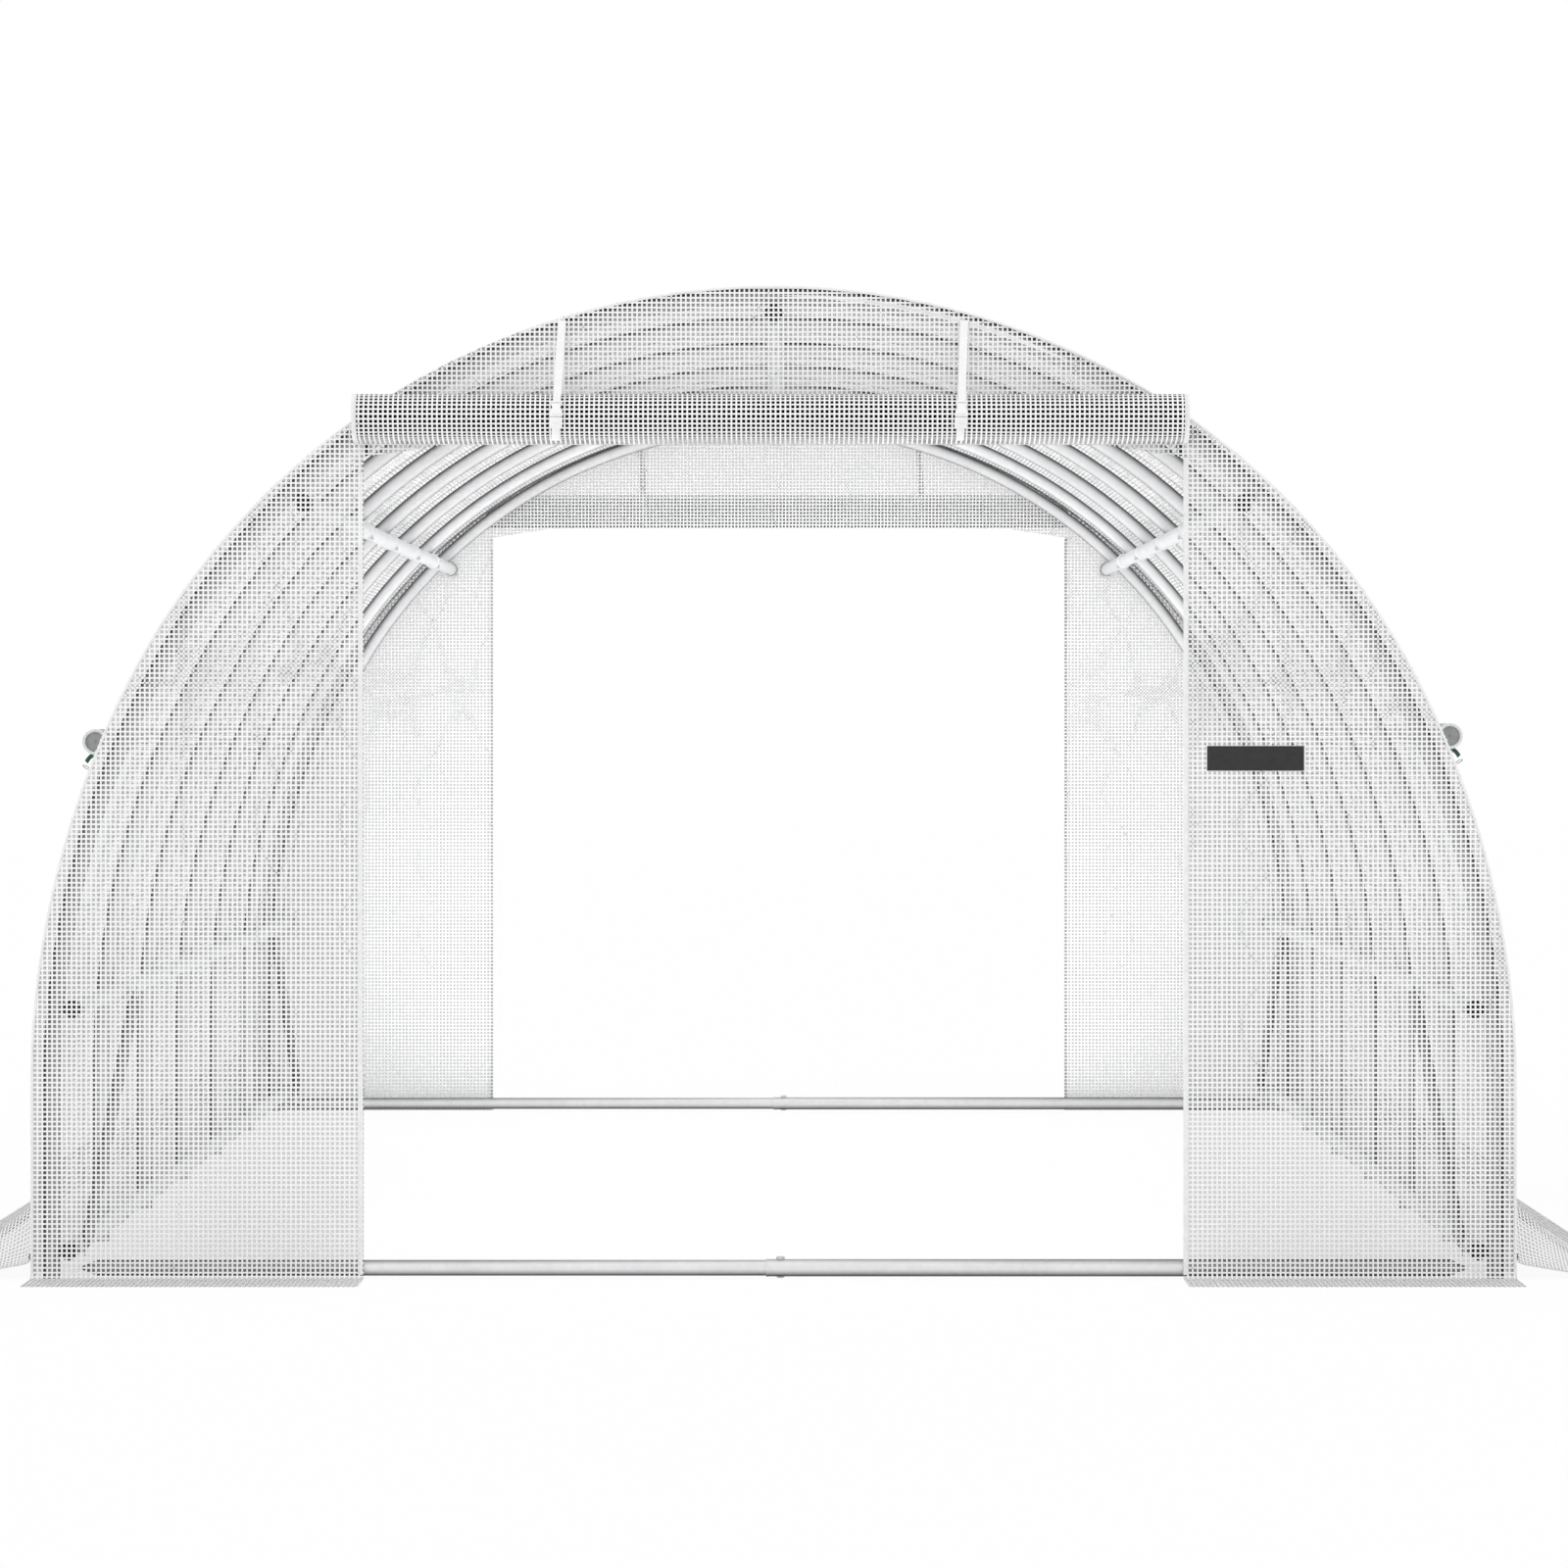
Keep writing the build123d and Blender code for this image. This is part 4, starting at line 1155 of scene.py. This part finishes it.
def make_ribbon_ties():
    """Green ribbons tied in a bow under each rolled flap, two to a window."""
    pile = Pile()
    width = 0.010
    for side, sign in (("left", -1), ("right", 1)):
        x, z = window_roll_centre(side)
        for place in WINDOW_PLACES:
            for offset in (-TIE_SPACING / 2, TIE_SPACING / 2):
                y = place + offset
                turns = np.linspace(0, 2 * pi, 25)
                radius = WINDOW_ROLL_RADIUS - 0.0008
                loop = np.stack([sign * (x + radius * np.cos(turns)), np.full(25, y), z + radius * np.sin(turns)], 1)
                ribbon_band(pile, loop, (0, 1, 0), width)
                knot = np.array([sign * (x + 0.014), y, z - 0.024])
                out = np.array([sign, 0, 0])
                down = np.array([0, 0, -1])
                steps = np.linspace(0, 1, 9)[:, None]
                tail = knot + out * (0.017 * steps + 0.002 * np.sin(pi * steps)) + down * 0.0185 * steps
                twist = np.array([sign * 0.73, 0, 0.68])
                ribbon_band(pile, tail, twist, 0.0085)
                fold = 2 * pi * steps
                loop = knot + out * (0.009 + 0.0075 * (1 - np.cos(fold))) + down * (
                    0.0335 - 0.0042 * (1 - np.cos(fold)) + 0.0028 * np.sin(fold))
                ribbon_band(pile, loop, (0, 1, 0), width)
                for bow in (-1, 1):
                    turn = np.linspace(0, 2 * pi, 13)[:, None]
                    along = np.array([0, bow, 0])
                    ring = knot + along * 0.012 * (1 - np.cos(turn)) + down * 0.006 * np.sin(turn)
                    ring = ring + down * 0.006 * (1 - np.cos(turn)) / 2
                    ribbon_band(pile, ring, (1, 0, 0), width * 0.8)
                side_turns = np.arange(12) * 2 * pi / 12
                rings = []
                for share, size in ((-1, 0.3), (-0.6, 0.85), (0, 1), (0.6, 0.85), (1, 0.3)):
                    ring = [knot + np.array([sign * 0.0045 * size * cos(t), 0.006 * share, 0.0045 * size * sin(t)])
                            for t in side_turns]
                    rings.append(ring)
                pile.ring_tube(np.array(rings))
    ties = sharpen(pile.piece("ribbon_ties", [RIBBON], "green_ribbon"), 50)
    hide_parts("window_ties")


NET_PITCH = 0.0022
NET_THREAD = 0.0006


def make_window_nets(side, sign):
    """Fine insect net behind each window, sewn under its hem."""
    pile = Pile()
    top, bottom = WINDOW_RUNS[0] - WINDOW_SEAM * 0.8, WINDOW_RUNS[1] + WINDOW_SEAM * 0.8
    half = WINDOW_WIDTH / 2 + WINDOW_SEAM * 0.8
    rows = np.arange(top, bottom, NET_PITCH)
    bends = np.linspace(top, bottom, 6)
    depth = -FILM - 0.0004
    for middle in WINDOW_PLACES:
        ends = np.linspace(middle - half, middle + half, 7)
        for run in rows:
            edges = np.array([run, run + NET_THREAD])[:, None]
            pile.grid(cover_points(sign * edges, ends[None, :], depth))
        for y in np.arange(middle - half, middle + half, NET_PITCH):
            edges = np.array([y, y + NET_THREAD])[:, None]
            pile.grid(cover_points(sign * bends[None, :], edges, depth - 0.0002))
    net = pile.piece(f"{side}_insect_net", [NET_YARN], "window_net")
    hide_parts(f"{side}_window_nets")


def window_ring(middle, outward, count=7):
    """Runs and distances round a window's rounded outline, moved outward."""
    top, bottom = WINDOW_RUNS
    half = WINDOW_WIDTH / 2
    runs, places = [], []
    radius = WINDOW_CORNER + outward
    corners = (
        (top + WINDOW_CORNER, middle + half - WINDOW_CORNER, 0),
        (top + WINDOW_CORNER, middle - half + WINDOW_CORNER, 1),
        (bottom - WINDOW_CORNER, middle - half + WINDOW_CORNER, 2),
        (bottom - WINDOW_CORNER, middle + half - WINDOW_CORNER, 3),
    )
    for run, place, quarter in corners:
        for turn in np.linspace(quarter * pi / 2, (quarter + 1) * pi / 2, count):
            runs.append(run - radius * sin(turn))
            places.append(place + radius * cos(turn))
    return np.array(runs + runs[:1]), np.array(places + places[:1])


def make_window_hems(side, sign):
    """White tape sewn round every window, on both faces of the film."""
    pile = Pile()
    for middle in WINDOW_PLACES:
        rows = []
        for outward, lift in (
            (0.0005, -0.0020), (-0.0012, 0), (0.0005, 0.0016), (WINDOW_SEAM - 0.001, 0.0016), (WINDOW_SEAM, 0.0008),
        ):
            runs, places = window_ring(middle, outward)
            rows.append(cover_points(sign * runs, places, lift))
        pile.grid(np.array(rows))
    pile.piece(f"{side}_window_hems", [HEM], "grid_film")


# Skirts, seams, zips and patch

SKIRT_TOP = 0.200
SKIRT_BREAK = 0.150
SKIRT_FOOT = 0.180
SIDE_SKIRT_REACH = 0.248
SKIRT_BEND = 0.060
SKIRT_FALL = 0.180


def skirt_section():
    """Points of a side skirt's section from its seam on the wall to its edge on the ground."""
    wall = 0.0005 + SKIRT / 2
    corners = [(wall, SKIRT_TOP), (wall, SKIRT_BREAK), (SKIRT_FOOT, SKIRT / 2), (SIDE_SKIRT_REACH, SKIRT / 2)]
    points = [np.array(corners[0])]
    for before, corner, after in zip(corners, corners[1:], corners[2:]):
        before, corner, after = (np.array(p) for p in (before, corner, after))
        into = (corner - before) / np.linalg.norm(corner - before)
        away = (after - corner) / np.linalg.norm(after - corner)
        turn = acos(float(into.dot(away)))
        reach = SKIRT_BEND * np.tan(turn / 2)
        for step in np.linspace(0, 1, 7):
            one = corner - into * reach * (1 - step)
            two = corner + away * reach * step
            points.append(one * (1 - step) + two * step)
    points.append(np.array(corners[-1]))
    return np.array(points)


def make_side_skirt(side, sign):
    """Loose skirt that slopes from the wall and ends flat on the ground."""
    section = skirt_section()
    runs = np.concatenate([[0], np.cumsum(np.hypot(*np.diff(section, axis=0).T))])
    slope = np.clip((runs - 0.04) / 0.1, 0, 1) * np.clip((runs[-1] - 0.06 - runs) / 0.1, 0, 1)

    def points_at(run, y, lift=0.0):
        run, y = np.broadcast_arrays(run, y)
        out = np.interp(run, runs, section[:, 0])
        height = np.interp(run, runs, section[:, 1])
        end = np.clip((np.abs(y) - END_Y + SKIRT_FALL) / SKIRT_FALL, 0, 1)
        height = 0.001 + (height - 0.001) * (1 - 0.80 * end**2 * (3 - 2 * end))
        loose = np.interp(run, runs, slope) * (1 - end)
        out = out - sag_at(y, COVER.run - SKIRT_TOP) * np.clip(1 - run / SKIRT_BEND, 0, 1)
        wave = 0.004 * np.sin(3.7 * y + 1) + 0.0025 * np.sin(9.1 * y)
        height = height + loose * wave + lift
        return np.stack([sign * (HALF_WIDTH + out + loose * wave * 0.5), y, height], -1)

    length = END_Y
    fall = np.linspace(length - SKIRT_FALL, length, 19)
    along = np.unique(np.round([*-fall, *np.linspace(SKIRT_FALL - length, length - SKIRT_FALL, 10 * BAYS + 1), *fall], 6))
    pile = Pile()
    pile.grid(points_at(runs[:, None], along[None, :]))
    film = pile.piece(f"{side}_skirt_film", [FILM_SHEET], "skirt_film")
    strands = StrandPile()
    for lift in BOTH_FACES:
        for run in np.arange(PITCH / 2, runs[-1], PITCH):
            edges = np.array([run - STRAND / 2, run + STRAND / 2])[:, None]
            places = np.stack(np.broadcast_arrays(along[None, :], edges), -1)
            strands.ribbon(points_at(edges, along[None, :], lift), places)
        for y in strand_places(-length, length):
            edges = np.array([y - STRAND / 2, y + STRAND / 2])[:, None]
            places = np.stack(np.broadcast_arrays(edges, runs[None, :]), -1)
            strands.ribbon(points_at(runs[None, :], edges, lift), places)
    yarns = strands.piece(f"{side}_skirt_strands", [YARN], "skirt_film", True, strands.map_points())
    seam = Pile()
    rows = [points_at(run, along) + np.array([sign * rise, 0, lift]) for run, rise, lift in (
        (0.0, -0.004, 0.012), (0.0, 0.0005, 0.010), (0.0, 0.0016, 0.002), (0.008, 0.0016, 0), (0.009, 0.0004, 0))]
    seam.grid(np.array(rows))
    seam.piece(f"{side}_skirt_seam", [HEM], "skirt_film")
    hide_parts(f"{side}_side_skirt")


ARCH_HEM = 0.005


def make_wall_hems(end, end_sign):
    """Folded edge where an end wall meets the roof."""
    pile = Pile()
    runs = arch_runs(COVER, 48, 14, 4)
    rows = []
    for inward, out in ((ARCH_HEM, 0.0008), (ARCH_HEM - 0.0008, 0.0018), (0.0010, 0.0018), (0.0, 0.0006),
                        (0.0, -0.010)):
        x, z, _, _ = COVER.at(runs, -inward - 0.0001)
        z = np.maximum(z, 0.0005)
        rows.append(np.stack([x, np.full_like(x, end_sign * (END_Y - FILM / 2 + out)), z], 1))
    pile.grid(np.array(rows))
    pile.piece(f"{end}_arch_hem", [HEM], "grid_film")


SLIDER_TOP = 1.692


def make_zips():
    """Zip tapes with a row of teeth beside both doorways, and a slider at the top of each."""
    pile = Pile()
    low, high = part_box("door_zips")
    for end_sign in (-1, 1):
        for side_sign in (-1, 1):
            middle = side_sign * (DOOR_HALF_WIDTH + ZIP_WIDTH / 2)
            heights = np.linspace(low.z, DOOR_CORNER_HEIGHT, 30)
            outline = [(-6.0, 0.2), (-5.6, 0.9), (-1.2, 0.9), (-0.8, 1.3), (0.8, 1.3), (1.2, 0.9), (3.6, 0.9), (4.0, 0.2)]
            rows = [
                np.stack([np.full(30, middle + a / 1000), np.full(30, end_sign * (END_Y + o / 1000)), heights], 1)
                for a, o in outline
            ]
            pile.grid(np.array(rows))
            slider = [(0, 0.6), (0.0015, 1.0), (0.0090, 1.0), (0.0130, 0.75), (0.0160, 0.7)]
            front = end_sign < 0
            place = (middle - 0.012 * side_sign, END_Y - 0.006, SLIDER_TOP) if front else (
                middle, END_Y + 0.0030, DOOR_CORNER_HEIGHT)
            size = 1.8 if front else 1.0
            rings = straight_rings(
                (place[0], end_sign * place[1], place[2]), (0, 0, -1), (0, 1, 0),
                [(size * d, 0.0045 * size * w, 0.0022) for d, w in slider], 12,
            )
            pile.ring_tube(rings, 1)
    zips = sharpen(pile.piece("zip_tapes", [HEM, BLACK], "white_webbing"), 45)
    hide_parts("door_zips")


def make_patch():
    """Plain woven patch with a stitched border."""
    low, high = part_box("sewn_patch")
    pile = Pile()
    lengths = [low.x, low.x + 0.0008, low.x + 0.004, high.x - 0.004, high.x - 0.0008, high.x]
    heights = [low.z, low.z + 0.0008, low.z + 0.004, high.z - 0.004, high.z - 0.0008, high.z]
    rise = np.array([0.0, 0.8, 1.0, 1.0, 0.8, 0.0])
    x, z = np.meshgrid(lengths, heights)
    out = np.minimum(rise[None, :], rise[:, None]) * 0.0010 + 0.0002
    pile.grid(np.stack([x, -END_Y - out, z], -1))
    patch = pile.piece("plain_patch", [PATCH], "black_patch")
    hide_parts("sewn_patch")


# Stage, light and camera

CAMERA_PLACE = (0.035, -16.8, 1.125)
LENS = 156.8
SHIFT = (-0.0044, -0.0394)


def make_camera():
    data = bpy.data.cameras.new("camera")
    data.lens = LENS
    data.sensor_width = 36
    data.shift_x, data.shift_y = SHIFT
    data.clip_end = 200
    camera = bpy.data.objects.new("camera", data)
    camera.location = CAMERA_PLACE
    camera.rotation_euler = (pi / 2, 0, 0)
    bpy.context.scene.collection.objects.link(camera)
    bpy.context.scene.camera = camera


def seen_directly(tree):
    """1 for rays that show the background itself."""
    path = add_node(tree, "ShaderNodeLightPath")
    total = path.outputs["Is Camera Ray"]
    for name in ("Is Glossy Ray", "Is Transmission Ray"):
        node = add_node(tree, "ShaderNodeMath", {"operation": "MAXIMUM"})
        tree.links.new(total, node.inputs[0])
        tree.links.new(path.outputs[name], node.inputs[1])
        total = node.outputs["Value"]
    return total


WORLD_LEVEL = 1.0
FLOOR_WHITE = 0.93


PANEL_LENGTH = 5.6
INNER_UP = 1.15
INNER_DOWN = 0.6
INNER_ALONG = 0.3


def make_world():
    world = bpy.data.worlds.new("studio")
    bpy.context.scene.world = world
    world.use_nodes = True
    tree = world.node_tree
    soft = tree.nodes["Background"]
    soft.inputs["Color"].default_value = (1, 1, 1, 1)
    soft.inputs["Strength"].default_value = WORLD_LEVEL
    white = add_node(tree, "ShaderNodeBackground", Color=(1, 1, 1, 1), Strength=1)
    mix = add_node(tree, "ShaderNodeMixShader")
    tree.links.new(seen_directly(tree), mix.inputs["Fac"])
    tree.links.new(soft.outputs["Background"], mix.inputs[1])
    tree.links.new(white.outputs["Background"], mix.inputs[2])
    tree.links.new(mix.outputs["Shader"], tree.nodes["World Output"].inputs["Surface"])


def make_floor():
    """Pale floor that shows white but keeps a faint shadow."""
    material, tree, shader = new_material("floor")
    shader.inputs["Base Color"].default_value = (0.9, 0.9, 0.9, 1)
    shader.inputs["Roughness"].default_value = 0.9
    white = add_node(tree, "ShaderNodeEmission", Color=(1, 1, 1, 1), Strength=1)
    share = add_node(tree, "ShaderNodeMath", {"operation": "MULTIPLY"})
    share.inputs[1].default_value = FLOOR_WHITE
    tree.links.new(seen_directly(tree), share.inputs[0])
    mix = add_node(tree, "ShaderNodeMixShader")
    tree.links.new(share.outputs["Value"], mix.inputs["Fac"])
    tree.links.new(shader.outputs["BSDF"], mix.inputs[1])
    tree.links.new(white.outputs["Emission"], mix.inputs[2])
    tree.links.new(mix.outputs["Shader"], tree.nodes["Material Output"].inputs["Surface"])
    half = 60
    mesh = bpy.data.meshes.new("floor")
    mesh.from_pydata([(-half, -half, 0), (half, -half, 0), (half, half, 0), (-half, half, 0)], [], [(0, 1, 2, 3)])
    mesh.materials.append(material)
    floor = bpy.data.objects.new("floor", mesh)
    bpy.context.scene.collection.objects.link(floor)


def make_key_light():
    data = bpy.data.lights.new("key", "SUN")
    data.energy = 0.15
    data.angle = radians(20)
    key = bpy.data.objects.new("key", data)
    key.rotation_euler = (radians(48), 0, radians(-32))
    bpy.context.scene.collection.objects.link(key)


def make_inner_lights():
    """Soft panels under the ridge, over the floor and across the tunnel, which lift its inner shade."""
    for name, place, size, level, turn in (
        ("low", (0, 0, 0.02), (2.4, PANEL_LENGTH), INNER_UP, pi),
        ("high", (0, 0, 1.75), (1.4, PANEL_LENGTH), INNER_DOWN, 0),
        ("rearward", (0, 1.3, 0.95), (2.2, 1.5), INNER_ALONG, pi / 2),
        ("forward", (0, -1.3, 0.95), (2.2, 1.5), INNER_ALONG, -pi / 2),
    ):
        data = bpy.data.lights.new(name, "AREA")
        data.shape = "RECTANGLE"
        data.size, data.size_y = size
        data.energy = level * pi * size[0] * size[1]
        lamp = bpy.data.objects.new(name, data)
        lamp.location = place
        lamp.rotation_euler = (turn, 0, 0)
        lamp.visible_camera = False
        lamp.visible_glossy = False
        bpy.context.scene.collection.objects.link(lamp)


make_camera()
make_world()
make_floor()
make_key_light()
make_inner_lights()
make_hoops()
make_purlins()
make_end_caps()
make_frame_bolts()
make_braces()
make_sills()
make_roof_cover()
for side, sign in (("left", -1), ("right", 1)):
    make_side_cover(side, sign)
    make_window_rolls(side, sign)
    make_window_nets(side, sign)
    make_window_hems(side, sign)
    make_side_skirt(side, sign)
for end, end_sign in (("front", -1), ("rear", 1)):
    make_end_wall(end, end_sign)
    make_wall_hems(end, end_sign)
    make_door_roll(end, end_sign)
make_straps()
make_buckles()
make_ribbon_ties()
make_zips()
make_patch()

bpy.context.scene.view_settings.view_transform = "Standard"
